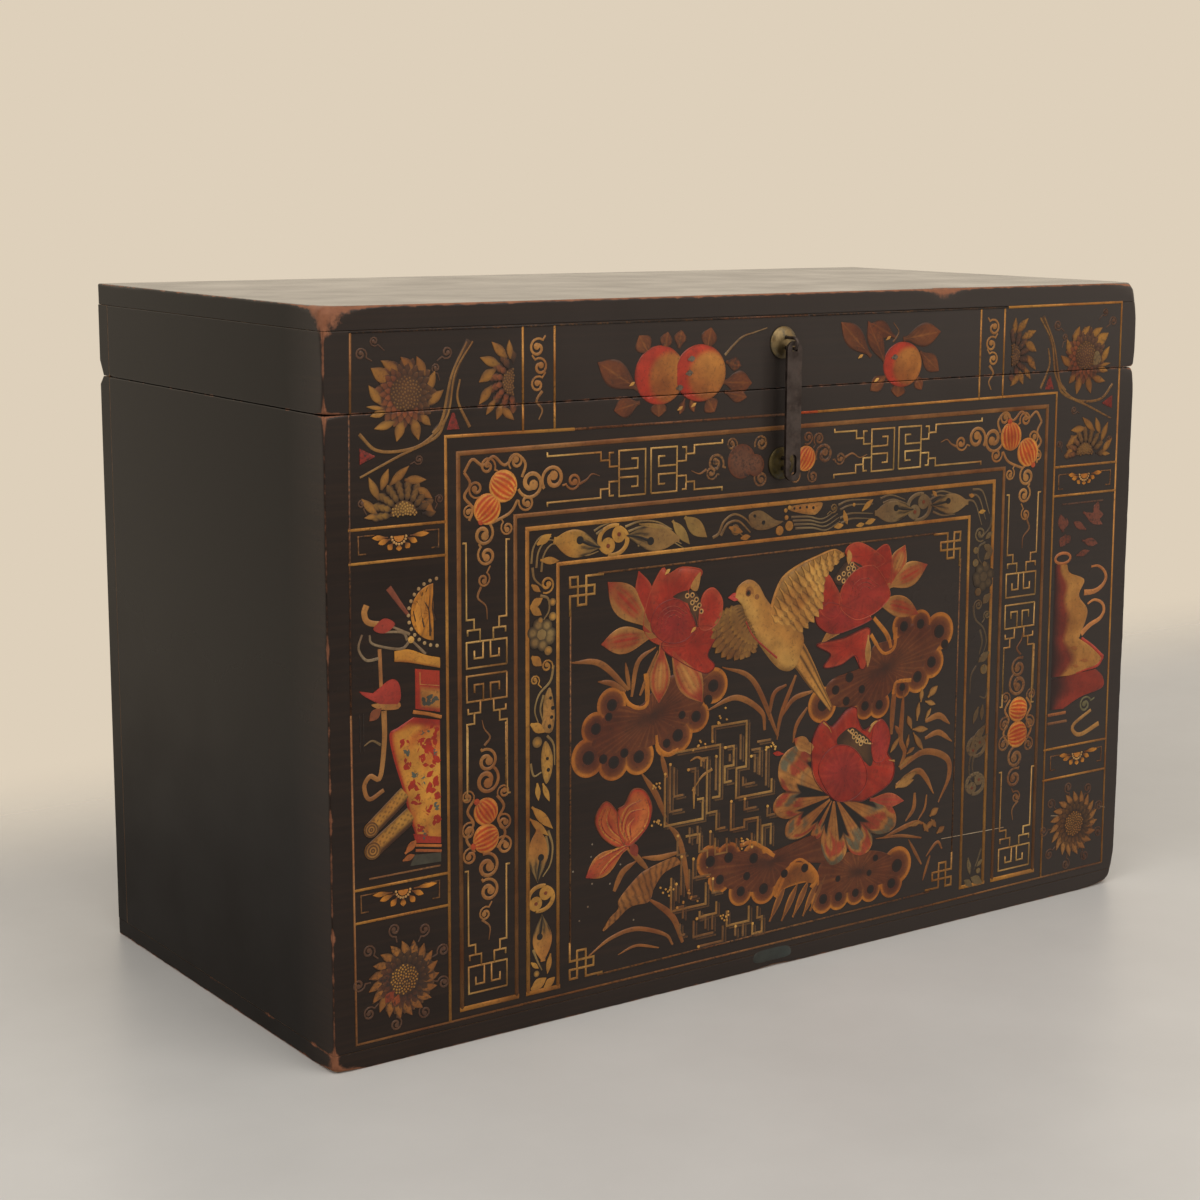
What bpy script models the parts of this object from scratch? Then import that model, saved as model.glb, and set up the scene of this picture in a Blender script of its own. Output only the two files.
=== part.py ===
"""A black-lacquered Chinese trunk: a boarded body, a hinged lid and a hasp on two round plates.

Frame: metres, X across the front, the front facing -Y, Z up, and the origin on the floor under the
middle of the trunk. Each board, strip, leaf, loop, nail and peg is an object of its own.
"""
import math

import bmesh
import bpy
from mathutils import Matrix, Vector

# Overall sizes of the closed trunk
TRUNK_WIDTH = 0.822
TRUNK_DEPTH = 0.392
BODY_HEIGHT = 0.484
LID_HEIGHT = 0.076

# Boards
WALL_THICKNESS = 0.015
BACK_THICKNESS = 0.018
BOTTOM_THICKNESS = 0.014
LID_TOP_THICKNESS = 0.017

# Clearances
JOINT_GAP = 0.0003
SEAM_GAP = 0.0006
BARREL_CLEARANCE = 0.0005
BEVEL_CLEARANCE = 0.00025
CUT_OVERRUN = 0.004

# Front corners: a mitred outer lap hides square fingers
MITRE_LAP = 0.005
WALL_FINGERS = 7
RAIL_FINGERS = 3

# Strips inside the mouth that centre the lid
LIP_THICKNESS = 0.006
LIP_RISE = 0.008
LIP_DROP = 0.026
LIP_TAPER = 0.0015

# Back edge of the seam: two bevels that meet when the lid leans back
GROOVE_DEPTH = 0.007
LID_BEVEL_ANGLE = math.radians(60)
BODY_BEVEL_ANGLE = math.radians(45)

# Hinges
HINGE_INSET = 0.150
HINGE_LENGTH = 0.060
HINGE_KNUCKLES = 3
KNUCKLE_RADIUS = 0.0032
PIN_RADIUS = 0.0015
PIN_HEAD_RADIUS = 0.0024
PIN_HEAD_THICKNESS = 0.0012
LEAF_THICKNESS = 0.0015
LEAF_INSET = 0.001
KNUCKLE_ROOT_INSET = 0.0005
LEAF_NAIL_OFFSET = 0.020
LEAF_NAIL_HEAD = 0.0026
LEAF_NAIL_HEAD_THICKNESS = 0.0006
LEAF_NAIL_SHANK = 0.0013
LEAF_NAIL_LENGTH = 0.012
NAIL_SINK = 0.0002

# Wrought nails that hold the bottom and the back
BOARD_NAIL_HEAD = 0.006
BOARD_NAIL_HEAD_THICKNESS = 0.0015
BOARD_NAIL_SHANK = 0.0026
BOTTOM_NAIL_BITE = 0.022
BACK_NAIL_BITE = 0.026
NAIL_TIP_SHARE = 0.4
LONG_SIDE_NAILS = 3
SHORT_SIDE_NAILS = 1
BACK_NAILS_PER_SIDE = 2

# Blind bamboo pegs that hold the lid's top board
PEG_RADIUS = 0.0025
PEG_IN_TOP = 0.009
PEG_IN_RAIL = 0.014
LONG_SIDE_PEGS = 3
SHORT_SIDE_PEGS = 1

# Hasp
HASP_DROP = 0.039
HASP_REACH = 0.097
HASP_STANDOFF = 0.0145
STRAP_WIDTH = 0.015
STRAP_THICKNESS = 0.0028
STRAP_AXLE = 0.0018
STRAP_EYE_WIDTH = 0.0052
STRAP_EYE_DEPTH = 0.0064
STRAP_SLOT_WIDTH = 0.007
STRAP_SLOT_LENGTH = 0.017
STRAP_TOE = 0.0045
STRAP_REST_GAP = 0.0004
STAPLE_HALF_GAP = 0.0042
STAPLE_WIRE_RADIUS = 0.0013
STAPLE_BEND_RADIUS = 0.0019
STAPLE_CLENCH = 0.007
PLATE_RADIUS = 0.013
PLATE_RIM = 0.001
UPPER_PLATE_DOME = 0.0045
LOWER_PLATE_DOME = 0.0026

# Facets of the round shapes
PIN_SIDES = 24
PEG_SIDES = 12
PLATE_SIDES = 40
DOME_STEPS = 5
WIRE_SIDES = 12
BEND_STEPS = 5
NOSE_STEPS = 15
STRAP_END_STEPS = 16
SHARP_EDGE_ANGLE = math.radians(40)

# Places worked out from the sizes above
HALF_WIDTH = TRUNK_WIDTH / 2
FRONT_Y = -TRUNK_DEPTH / 2
BACK_Y = TRUNK_DEPTH / 2
INNER_X = HALF_WIDTH - WALL_THICKNESS
INNER_FRONT_Y = FRONT_Y + WALL_THICKNESS
INNER_BACK_Y = BACK_Y - BACK_THICKNESS
SIDE_END_Y = INNER_BACK_Y - JOINT_GAP
WALL_FOOT = BOTTOM_THICKNESS + JOINT_GAP
LID_FOOT = BODY_HEIGHT + SEAM_GAP
TRUNK_TOP = BODY_HEIGHT + LID_HEIGHT
LID_TOP_FOOT = TRUNK_TOP - LID_TOP_THICKNESS
RAIL_TOP = LID_TOP_FOOT - JOINT_GAP
HINGE_Y = BACK_Y - GROOVE_DEPTH
HINGE_Z = BODY_HEIGHT + SEAM_GAP / 2
HINGE_X = HALF_WIDTH - HINGE_INSET
LEAF_EDGE_Y = INNER_BACK_Y + LEAF_INSET
KNUCKLE_EDGE_Y = HINGE_Y - KNUCKLE_RADIUS - BARREL_CLEARANCE
KNUCKLE_LENGTH = HINGE_LENGTH / HINGE_KNUCKLES
HASP_Y = FRONT_Y - HASP_STANDOFF
HASP_Z = TRUNK_TOP - HASP_DROP
STAPLE_Z = HASP_Z - HASP_REACH
STAPLE_OUTER = STAPLE_HALF_GAP + STAPLE_WIRE_RADIUS
LOWER_STAPLE_Y = HASP_Y + STRAP_THICKNESS / 2 + STRAP_REST_GAP + STAPLE_OUTER


def clear_scene():
    """Removes every object, so that the file holds the trunk alone."""
    for old in list(bpy.data.objects):
        bpy.data.objects.remove(old, do_unlink=True)


def make_material(name, colour, roughness, metallic=0.0):
    """A plain surface of one colour, given as linear red, green and blue."""
    material = bpy.data.materials.new(name)
    material.use_nodes = True
    shader = material.node_tree.nodes["Principled BSDF"]
    shader.inputs["Base Color"].default_value = (*colour, 1.0)
    shader.inputs["Roughness"].default_value = roughness
    shader.inputs["Metallic"].default_value = metallic
    return material


def finish_mesh(name, bm):
    """Turns a bmesh into a mesh whose faces all point outwards."""
    bmesh.ops.recalc_face_normals(bm, faces=bm.faces)
    mesh = bpy.data.meshes.new(name)
    bm.to_mesh(mesh)
    bm.free()
    return mesh


def add_piece(name, bm, material, parent=None, smooth=False):
    """Makes a named object, hung on its joint's empty where it moves."""
    mesh = finish_mesh(name, bm)
    mesh.materials.append(material)
    if smooth:
        mesh.shade_smooth()
        mesh.set_sharp_from_angle(angle=SHARP_EDGE_ANGLE)
    piece = bpy.data.objects.new(name, mesh)
    bpy.context.scene.collection.objects.link(piece)
    if parent is not None:
        piece.parent = parent
        piece.matrix_parent_inverse = Matrix.Translation(-parent.location)
    return piece


def add_cutter(name, bm):
    """Makes a tool shape that only cuts or adds to other pieces."""
    cutter = bpy.data.objects.new(name, finish_mesh(name, bm))
    cutter.hide_render = True
    cutter.display_type = "WIRE"
    bpy.context.scene.collection.objects.link(cutter)
    return cutter


def combine(piece, tool, operation="DIFFERENCE"):
    """Cuts a tool out of a piece, or joins it on."""
    modifier = piece.modifiers.new(tool.name, "BOOLEAN")
    modifier.operation = operation
    modifier.solver = "EXACT"
    modifier.object = tool


def add_pivot(name, location):
    """An empty on a joint's axis, which carries the pieces that turn there."""
    pivot = bpy.data.objects.new(name, None)
    pivot.location = location
    bpy.context.scene.collection.objects.link(pivot)
    return pivot


def add_prism(bm, outline, axis, start, end):
    """Extrudes a flat outline along X, Y or Z; the outline holds the two other axes in order."""
    place = {
        "X": lambda p, level: (level, p[0], p[1]),
        "Y": lambda p, level: (p[0], level, p[1]),
        "Z": lambda p, level: (p[0], p[1], level),
    }[axis]
    low = [bm.verts.new(place(point, start)) for point in outline]
    high = [bm.verts.new(place(point, end)) for point in outline]
    bm.faces.new(low[::-1])
    bm.faces.new(high)
    for index in range(len(outline)):
        following = (index + 1) % len(outline)
        bm.faces.new((low[index], low[following], high[following], high[index]))


def add_box(bm, low, high):
    """A box between two corners."""
    outline = [(low[0], low[1]), (high[0], low[1]), (high[0], high[1]), (low[0], high[1])]
    add_prism(bm, outline, "Z", low[2], high[2])


def add_nail(bm, head_centre, direction, head, head_thickness, shank, length, grow=0.0, lift=0.0):
    """A square nail: flat head, tapering shank. Grown and lifted, it is the hole for the same nail."""
    turn = Vector((0, 0, 1)).rotation_difference(Vector(direction)).to_matrix().to_4x4()
    place = Matrix.Translation(head_centre) @ turn
    tip = shank * NAIL_TIP_SHARE
    levels = [
        (head / 2 + grow, -lift),
        (head / 2 + grow, head_thickness + grow),
        (shank / 2 + grow, head_thickness + grow),
        (tip / 2 + grow, length + grow),
    ]
    corners = [(-1, -1), (1, -1), (1, 1), (-1, 1)]
    rings = []
    for half, depth in levels:
        ring = [bm.verts.new(place @ Vector((sx * half, sy * half, depth))) for sx, sy in corners]
        rings.append(ring)
    bm.faces.new(rings[0][::-1])
    bm.faces.new(rings[-1])
    for lower, upper in zip(rings, rings[1:]):
        for index in range(4):
            following = (index + 1) % 4
            bm.faces.new((lower[index], lower[following], upper[following], upper[index]))


def circle(radius, sides, centre=(0.0, 0.0)):
    """Corner points of a round outline."""
    angles = [2 * math.pi * index / sides for index in range(sides)]
    return [(centre[0] + radius * math.cos(a), centre[1] + radius * math.sin(a)) for a in angles]


def stadium(width, low, high, steps):
    """Outline of a slot or strap with round ends, from low to high along its second axis."""
    radius = width / 2
    outline = []
    for centre, first in ((high - radius, 0.0), (low + radius, math.pi)):
        for step in range(steps + 1):
            angle = first + math.pi * step / steps
            outline.append((radius * math.cos(angle), centre + radius * math.sin(angle)))
    return outline


def arc(centre, radius, first, last, steps):
    """Points of an arc in the YZ plane, from one angle to another."""
    angles = [first + (last - first) * step / steps for step in range(steps + 1)]
    return [Vector((0, centre[0] + radius * math.cos(a), centre[1] + radius * math.sin(a))) for a in angles]


def add_wire(bm, path, radius):
    """A round wire along a path in the YZ plane, closed at both ends."""
    rings = []
    for index, point in enumerate(path):
        before = path[max(index - 1, 0)]
        after = path[min(index + 1, len(path) - 1)]
        along = (after - before).normalized()
        across = along.cross(Vector((1, 0, 0)))
        ring = []
        for offset_x, offset_n in circle(radius, WIRE_SIDES):
            ring.append(bm.verts.new(point + Vector((offset_x, 0, 0)) + across * offset_n))
        rings.append(ring)
    bm.faces.new(rings[0][::-1])
    bm.faces.new(rings[-1])
    for lower, upper in zip(rings, rings[1:]):
        for index in range(WIRE_SIDES):
            following = (index + 1) % WIRE_SIDES
            bm.faces.new((lower[index], lower[following], upper[following], upper[index]))


def add_rod(bm, radius, sides, start, end):
    """A rod along X on the hinge axis."""
    add_prism(bm, circle(radius, sides, (HINGE_Y, HINGE_Z)), "X", start, end)


def spread(low, high, count):
    """Even places between two ends, half a step in from each."""
    step = (high - low) / count
    return [low + step * (index + 0.5) for index in range(count)]


def finger_levels(foot, top, fingers, first):
    """Heights of every second finger, stretched by the joint's gap and past the board's ends."""
    step = (top - foot) / fingers
    levels = []
    for index in range(first, fingers, 2):
        low = foot + step * index - JOINT_GAP / 2
        high = foot + step * (index + 1) + JOINT_GAP / 2
        if index == 0:
            low -= CUT_OVERRUN
        if index == fingers - 1:
            high += CUT_OVERRUN
        levels.append((low, high))
    return levels


def make_front(name, foot, top, fingers, material, parent=None):
    """A front board: mitred lap outside, square fingers behind it at both ends."""
    mitre = JOINT_GAP / math.sqrt(2)
    inner_end = HALF_WIDTH - MITRE_LAP - JOINT_GAP
    lap_back = FRONT_Y + MITRE_LAP + JOINT_GAP - mitre
    right = [(HALF_WIDTH - mitre, FRONT_Y), (inner_end, lap_back), (inner_end, INNER_FRONT_Y)]
    left = [(-x, y) for x, y in reversed(right)]
    bm = bmesh.new()
    add_prism(bm, right + left, "Z", foot, top)
    board = add_piece(name, bm, material, parent)
    sockets = bmesh.new()
    for low, high in finger_levels(foot, top, fingers, 1):
        near = INNER_X - JOINT_GAP
        far = HALF_WIDTH - MITRE_LAP / 2
        deep = FRONT_Y + MITRE_LAP
        add_box(sockets, (near, deep, low), (far, INNER_FRONT_Y + CUT_OVERRUN, high))
        add_box(sockets, (-far, deep, low), (-near, INNER_FRONT_Y + CUT_OVERRUN, high))
    combine(board, add_cutter(name + "_sockets", sockets))
    return board


def make_side(name, side, foot, top, fingers, material, parent=None):
    """A side board: the same corner at its front, square at its back."""
    mitre = JOINT_GAP / math.sqrt(2)
    finger_tip = FRONT_Y + MITRE_LAP + JOINT_GAP
    lap_inner = HALF_WIDTH - MITRE_LAP - JOINT_GAP + mitre
    outline = [
        (HALF_WIDTH, FRONT_Y + mitre),
        (HALF_WIDTH, SIDE_END_Y),
        (INNER_X, SIDE_END_Y),
        (INNER_X, finger_tip),
        (lap_inner, finger_tip),
    ]
    bm = bmesh.new()
    add_prism(bm, [(side * x, y) for x, y in outline], "Z", foot, top)
    board = add_piece(name, bm, material, parent)
    sockets = bmesh.new()
    for low, high in finger_levels(foot, top, fingers, 0):
        outline = [
            (side * (INNER_X - CUT_OVERRUN), FRONT_Y + MITRE_LAP / 2),
            (side * (HALF_WIDTH - MITRE_LAP), FRONT_Y + MITRE_LAP / 2),
            (side * (HALF_WIDTH - MITRE_LAP), INNER_FRONT_Y + JOINT_GAP),
            (side * (INNER_X - CUT_OVERRUN), INNER_FRONT_Y + JOINT_GAP),
        ]
        add_prism(sockets, outline, "Z", low, high)
    combine(board, add_cutter(name + "_sockets", sockets))
    return board


def make_back_board(material):
    """The trunk's back, whose top back edge slopes down at the body's bevel angle."""
    drop = BEVEL_CLEARANCE / math.cos(BODY_BEVEL_ANGLE)
    slope = math.tan(BODY_BEVEL_ANGLE)
    bevel_y = HINGE_Y + (SEAM_GAP / 2 - drop) / slope
    bevel_z = HINGE_Z - GROOVE_DEPTH * slope - drop
    outline = [
        (INNER_BACK_Y, WALL_FOOT),
        (BACK_Y, WALL_FOOT),
        (BACK_Y, bevel_z),
        (bevel_y, BODY_HEIGHT),
        (INNER_BACK_Y, BODY_HEIGHT),
    ]
    bm = bmesh.new()
    add_prism(bm, outline, "X", -HALF_WIDTH, HALF_WIDTH)
    return add_piece("back_board", bm, material)


def make_lid_back_rail(material, parent):
    """The lid's back, whose bottom back edge slopes up at the lid's bevel angle."""
    rise = BEVEL_CLEARANCE / math.cos(LID_BEVEL_ANGLE)
    slope = math.tan(LID_BEVEL_ANGLE)
    bevel_y = HINGE_Y + (SEAM_GAP / 2 - rise) / slope
    bevel_z = HINGE_Z + GROOVE_DEPTH * slope + rise
    outline = [
        (INNER_BACK_Y, LID_FOOT),
        (bevel_y, LID_FOOT),
        (BACK_Y, bevel_z),
        (BACK_Y, RAIL_TOP),
        (INNER_BACK_Y, RAIL_TOP),
    ]
    bm = bmesh.new()
    add_prism(bm, outline, "X", -HALF_WIDTH, HALF_WIDTH)
    return add_piece("lid_back_rail", bm, material, parent)


def make_slab(name, foot, top, material, parent=None):
    """A board as large as the whole plan, such as the bottom and the lid's top."""
    bm = bmesh.new()
    add_box(bm, (-HALF_WIDTH, FRONT_Y, foot), (HALF_WIDTH, BACK_Y, top))
    return add_piece(name, bm, material, parent)


def lip_profile(face):
    """Section of a lip strip against a wall's inner face at zero, tapered where it enters the lid."""
    outer = face + JOINT_GAP
    inner = outer + LIP_THICKNESS
    return [
        (outer, BODY_HEIGHT - LIP_DROP),
        (inner, BODY_HEIGHT - LIP_DROP),
        (inner, BODY_HEIGHT + LIP_RISE),
        (outer + LIP_TAPER, BODY_HEIGHT + LIP_RISE),
        (outer, BODY_HEIGHT),
    ]


def make_lip_strips(material):
    """Strips inside the front and both sides; the back has none, to let the lid turn."""
    bm = bmesh.new()
    front_end = INNER_X - JOINT_GAP
    add_prism(bm, lip_profile(INNER_FRONT_Y), "X", -front_end, front_end)
    add_piece("front_lip_strip", bm, material)
    side_start = INNER_FRONT_Y + LIP_THICKNESS + 2 * JOINT_GAP
    for name, side in (("left_lip_strip", -1), ("right_lip_strip", 1)):
        bm = bmesh.new()
        outline = [(side * -x, z) for x, z in lip_profile(-INNER_X)]
        add_prism(bm, outline, "Y", side_start, SIDE_END_Y)
        add_piece(name, bm, material)


def bottom_nail_places():
    """Head centres under the bottom board, below the middle of each wall."""
    wall_mid = WALL_THICKNESS / 2
    places = []
    for x in spread(-INNER_X, INNER_X, LONG_SIDE_NAILS):
        places.append((x, FRONT_Y + wall_mid))
        places.append((x, BACK_Y - BACK_THICKNESS / 2))
    for y in spread(INNER_FRONT_Y, INNER_BACK_Y, SHORT_SIDE_NAILS):
        places.append((-HALF_WIDTH + wall_mid, y))
        places.append((HALF_WIDTH - wall_mid, y))
    return [((x, y, NAIL_SINK), (0, 0, 1)) for x, y in places]


def back_nail_places(foot, top, count):
    """Head centres on the back, behind the middle of each side board's end."""
    places = []
    for z in spread(foot, top, count):
        for side in (-1, 1):
            x = side * (HALF_WIDTH - WALL_THICKNESS / 2)
            places.append(((x, BACK_Y - NAIL_SINK, z), (0, -1, 0)))
    return places


def make_nails(name, places, sizes, held_by, material, parent=None):
    """Like nails, numbered, and their holes in every board that they hold."""
    holes = bmesh.new()
    for number, (centre, direction) in enumerate(places, start=1):
        nail = bmesh.new()
        add_nail(nail, centre, direction, *sizes)
        add_piece(f"{name}_{number}", nail, material, parent)
        add_nail(holes, centre, direction, *sizes, grow=JOINT_GAP, lift=CUT_OVERRUN)
    tool = add_cutter(name + "_holes", holes)
    for board in held_by:
        combine(board, tool)


def make_lid_pegs(top_board, rails, material, parent):
    """Blind pegs along the rails, each half in its rail and half in the top board."""
    wall_mid = WALL_THICKNESS / 2
    places = []
    for x in spread(-INNER_X, INNER_X, LONG_SIDE_PEGS):
        places.append((x, FRONT_Y + wall_mid))
        places.append((x, BACK_Y - BACK_THICKNESS / 2))
    for y in spread(INNER_FRONT_Y, INNER_BACK_Y, SHORT_SIDE_PEGS):
        places.append((-HALF_WIDTH + wall_mid, y))
        places.append((HALF_WIDTH - wall_mid, y))
    holes = bmesh.new()
    low = RAIL_TOP - PEG_IN_RAIL
    high = LID_TOP_FOOT + PEG_IN_TOP
    for number, centre in enumerate(places, start=1):
        peg = bmesh.new()
        add_prism(peg, circle(PEG_RADIUS, PEG_SIDES, centre), "Z", low, high)
        add_piece(f"lid_top_peg_{number}", peg, material, parent, smooth=True)
        hole = circle(PEG_RADIUS + JOINT_GAP, PEG_SIDES, centre)
        add_prism(holes, hole, "Z", low - JOINT_GAP, high + JOINT_GAP)
    tool = add_cutter("lid_top_peg_holes", holes)
    for board in [top_board] + rails:
        combine(board, tool)


def make_leaf(name, centre_x, plate_z, knuckles, material, parent=None):
    """One hinge leaf: a plate let into the seam, with its knuckles rolled round the pin.

    knuckles lists which of the barrel's knuckles, counted from the left, belong to this leaf.
    """
    start = centre_x - HINGE_LENGTH / 2
    end = centre_x + HINGE_LENGTH / 2
    bm = bmesh.new()
    outline = [(start, LEAF_EDGE_Y), (end, LEAF_EDGE_Y), (end, KNUCKLE_EDGE_Y), (start, KNUCKLE_EDGE_Y)]
    add_prism(bm, outline, "Z", plate_z, plate_z + LEAF_THICKNESS)
    leaf = add_piece(name, bm, material, parent, smooth=True)
    roots = bmesh.new()
    barrels = bmesh.new()
    for knuckle in knuckles:
        low = start + KNUCKLE_LENGTH * knuckle + JOINT_GAP / 2
        high = low + KNUCKLE_LENGTH - JOINT_GAP
        root_low = (low + KNUCKLE_ROOT_INSET, (LEAF_EDGE_Y + KNUCKLE_EDGE_Y) / 2, plate_z)
        root_high = (high - KNUCKLE_ROOT_INSET, HINGE_Y, plate_z + LEAF_THICKNESS)
        add_box(roots, root_low, root_high)
        add_rod(barrels, KNUCKLE_RADIUS, PIN_SIDES, low, high)
    bore = bmesh.new()
    add_rod(bore, PIN_RADIUS + JOINT_GAP, PIN_SIDES, start - CUT_OVERRUN, end + CUT_OVERRUN)
    combine(leaf, add_cutter(name + "_roots", roots), "UNION")
    combine(leaf, add_cutter(name + "_barrels", barrels), "UNION")
    combine(leaf, add_cutter(name + "_bore", bore))
    return leaf


def make_hinge_pin(name, centre_x, material):
    """The pin, with a small head at each end."""
    half = HINGE_LENGTH / 2 + JOINT_GAP
    outer = half + PIN_HEAD_THICKNESS
    rings = [
        (PIN_HEAD_RADIUS, -outer),
        (PIN_HEAD_RADIUS, -half),
        (PIN_RADIUS, -half),
        (PIN_RADIUS, half),
        (PIN_HEAD_RADIUS, half),
        (PIN_HEAD_RADIUS, outer),
    ]
    bm = bmesh.new()
    loops = []
    for radius, offset in rings:
        points = circle(radius, PIN_SIDES, (HINGE_Y, HINGE_Z))
        loops.append([bm.verts.new((centre_x + offset, y, z)) for y, z in points])
    bm.faces.new(loops[0][::-1])
    bm.faces.new(loops[-1])
    for lower, upper in zip(loops, loops[1:]):
        for index in range(PIN_SIDES):
            following = (index + 1) % PIN_SIDES
            bm.faces.new((lower[index], lower[following], upper[following], upper[index]))
    add_piece(name, bm, material, smooth=True)


def make_hinges(back_board, lid_back_rail, metal, iron, lid):
    """Both hinges, with the pockets that they need in the back board and the lid's back rail."""
    body_pockets = bmesh.new()
    lid_pockets = bmesh.new()
    barrel_room = bmesh.new()
    body_leaves = []
    lid_leaves = []
    body_nails = []
    lid_nails = []
    body_plate_z = BODY_HEIGHT - LEAF_THICKNESS
    nail_y = (LEAF_EDGE_Y + KNUCKLE_EDGE_Y) / 2
    for side_name, side in (("left", -1), ("right", 1)):
        x = side * HINGE_X
        half = HINGE_LENGTH / 2
        body_name = side_name + "_hinge_body_leaf"
        lid_name = side_name + "_hinge_lid_leaf"
        even = range(0, HINGE_KNUCKLES, 2)
        odd = range(1, HINGE_KNUCKLES, 2)
        body_leaves.append(make_leaf(body_name, x, body_plate_z, even, metal))
        lid_leaves.append(make_leaf(lid_name, x, LID_FOOT, odd, metal, lid))
        make_hinge_pin(side_name + "_hinge_pin", x, iron)
        pocket_half = half + JOINT_GAP
        front = INNER_BACK_Y - CUT_OVERRUN
        add_box(
            body_pockets,
            (x - pocket_half, front, body_plate_z - JOINT_GAP),
            (x + pocket_half, HINGE_Y, BODY_HEIGHT + CUT_OVERRUN),
        )
        add_box(
            lid_pockets,
            (x - pocket_half, front, LID_FOOT - CUT_OVERRUN),
            (x + pocket_half, HINGE_Y, LID_FOOT + LEAF_THICKNESS + JOINT_GAP),
        )
        room_half = half + PIN_HEAD_THICKNESS + 2 * JOINT_GAP + BARREL_CLEARANCE
        add_rod(barrel_room, KNUCKLE_RADIUS + BARREL_CLEARANCE, PIN_SIDES, x - room_half, x + room_half)
        for offset in (-LEAF_NAIL_OFFSET, LEAF_NAIL_OFFSET):
            body_nails.append(((x + offset, nail_y, BODY_HEIGHT - NAIL_SINK), (0, 0, -1)))
            lid_nails.append(((x + offset, nail_y, LID_FOOT + NAIL_SINK), (0, 0, 1)))
    room = add_cutter("hinge_barrel_room", barrel_room)
    combine(back_board, add_cutter("hinge_body_pockets", body_pockets))
    combine(back_board, room)
    combine(lid_back_rail, add_cutter("hinge_lid_pockets", lid_pockets))
    combine(lid_back_rail, room)
    sizes = (LEAF_NAIL_HEAD, LEAF_NAIL_HEAD_THICKNESS, LEAF_NAIL_SHANK, LEAF_NAIL_LENGTH)
    make_nails("hinge_body_nail", body_nails, sizes, body_leaves + [back_board], iron)
    make_nails("hinge_lid_nail", lid_nails, sizes, lid_leaves + [lid_back_rail], iron, lid)


def make_plate(name, centre_z, dome, material, parent=None):
    """A round plate on the front, its face an arc from the rim up to the dome."""
    back = FRONT_Y - JOINT_GAP
    rise = dome - PLATE_RIM
    rings = [(PLATE_RADIUS, back), (PLATE_RADIUS, back - PLATE_RIM)]
    for step in range(1, DOME_STEPS):
        share = step / DOME_STEPS
        height = PLATE_RIM + rise * math.sin(share * math.pi / 2)
        rings.append((PLATE_RADIUS * math.cos(share * math.pi / 2), back - height))
    bm = bmesh.new()
    loops = []
    for radius, y in rings:
        points = circle(radius, PLATE_SIDES, (0.0, centre_z))
        loops.append([bm.verts.new((x, y, z)) for x, z in points])
    crown = bm.verts.new((0, back - dome, centre_z))
    bm.faces.new(loops[0])
    for lower, upper in zip(loops, loops[1:]):
        for index in range(PLATE_SIDES):
            following = (index + 1) % PLATE_SIDES
            bm.faces.new((lower[index], lower[following], upper[following], upper[index]))
    for index in range(PLATE_SIDES):
        bm.faces.new((loops[-1][index], loops[-1][(index + 1) % PLATE_SIDES], crown))
    return add_piece(name, bm, material, parent, smooth=True)


def staple_path(nose_y, centre_z):
    """A staple's wire: in along one leg, round its nose, and out, with both legs clenched inside."""
    clench_y = INNER_FRONT_Y + JOINT_GAP + STAPLE_WIRE_RADIUS
    bend_y = clench_y - STAPLE_BEND_RADIUS
    upper = centre_z + STAPLE_HALF_GAP
    lower = centre_z - STAPLE_HALF_GAP
    tip_rise = STAPLE_BEND_RADIUS + STAPLE_CLENCH
    path = [Vector((0, clench_y, upper + tip_rise))]
    path += arc((bend_y, upper + STAPLE_BEND_RADIUS), STAPLE_BEND_RADIUS, 0.0, -math.pi / 2, BEND_STEPS)
    path += arc((nose_y, centre_z), STAPLE_HALF_GAP, math.pi / 2, 3 * math.pi / 2, NOSE_STEPS)
    path += arc((bend_y, lower - STAPLE_BEND_RADIUS), STAPLE_BEND_RADIUS, math.pi / 2, 0.0, BEND_STEPS)
    path.append(Vector((0, clench_y, lower - tip_rise)))
    return path


def make_staple(name, nose_y, centre_z, through, material, parent=None):
    """A wire loop through its plate and board, and the leg holes that it needs there."""
    bm = bmesh.new()
    add_wire(bm, staple_path(nose_y, centre_z), STAPLE_WIRE_RADIUS)
    add_piece(name, bm, material, parent, smooth=True)
    holes = bmesh.new()
    for z in (centre_z + STAPLE_HALF_GAP, centre_z - STAPLE_HALF_GAP):
        outline = circle(STAPLE_WIRE_RADIUS + JOINT_GAP, WIRE_SIDES, (0.0, z))
        add_prism(holes, outline, "Y", HASP_Y, INNER_FRONT_Y + CUT_OVERRUN)
    tool = add_cutter(name + "_holes", holes)
    for piece in through:
        combine(piece, tool)


def make_strap(material, parent):
    """The hasp's flat bar, with an eye round the upper staple and a slot for the lower one."""
    back = HASP_Y + STRAP_THICKNESS / 2
    front = HASP_Y - STRAP_THICKNESS / 2
    toe = STAPLE_Z - STRAP_SLOT_LENGTH / 2 - STRAP_TOE
    bm = bmesh.new()
    add_prism(bm, stadium(STRAP_WIDTH, toe, HASP_Z + STRAP_AXLE, STRAP_END_STEPS), "Y", front, back)
    strap = add_piece("hasp_strap", bm, material, parent, smooth=True)
    holes = bmesh.new()
    eye_top = HASP_Z - STRAP_AXLE
    eye_low = HASP_Z - STRAP_EYE_DEPTH
    eye_half = STRAP_EYE_WIDTH / 2
    add_box(holes, (-eye_half, front - CUT_OVERRUN, eye_low), (eye_half, back + CUT_OVERRUN, eye_top))
    slot_half = STRAP_SLOT_LENGTH / 2
    slot = stadium(STRAP_SLOT_WIDTH, STAPLE_Z - slot_half, STAPLE_Z + slot_half, STRAP_END_STEPS // 2)
    add_prism(holes, slot, "Y", front - CUT_OVERRUN, back + CUT_OVERRUN)
    combine(strap, add_cutter("hasp_strap_holes", holes))


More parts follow.
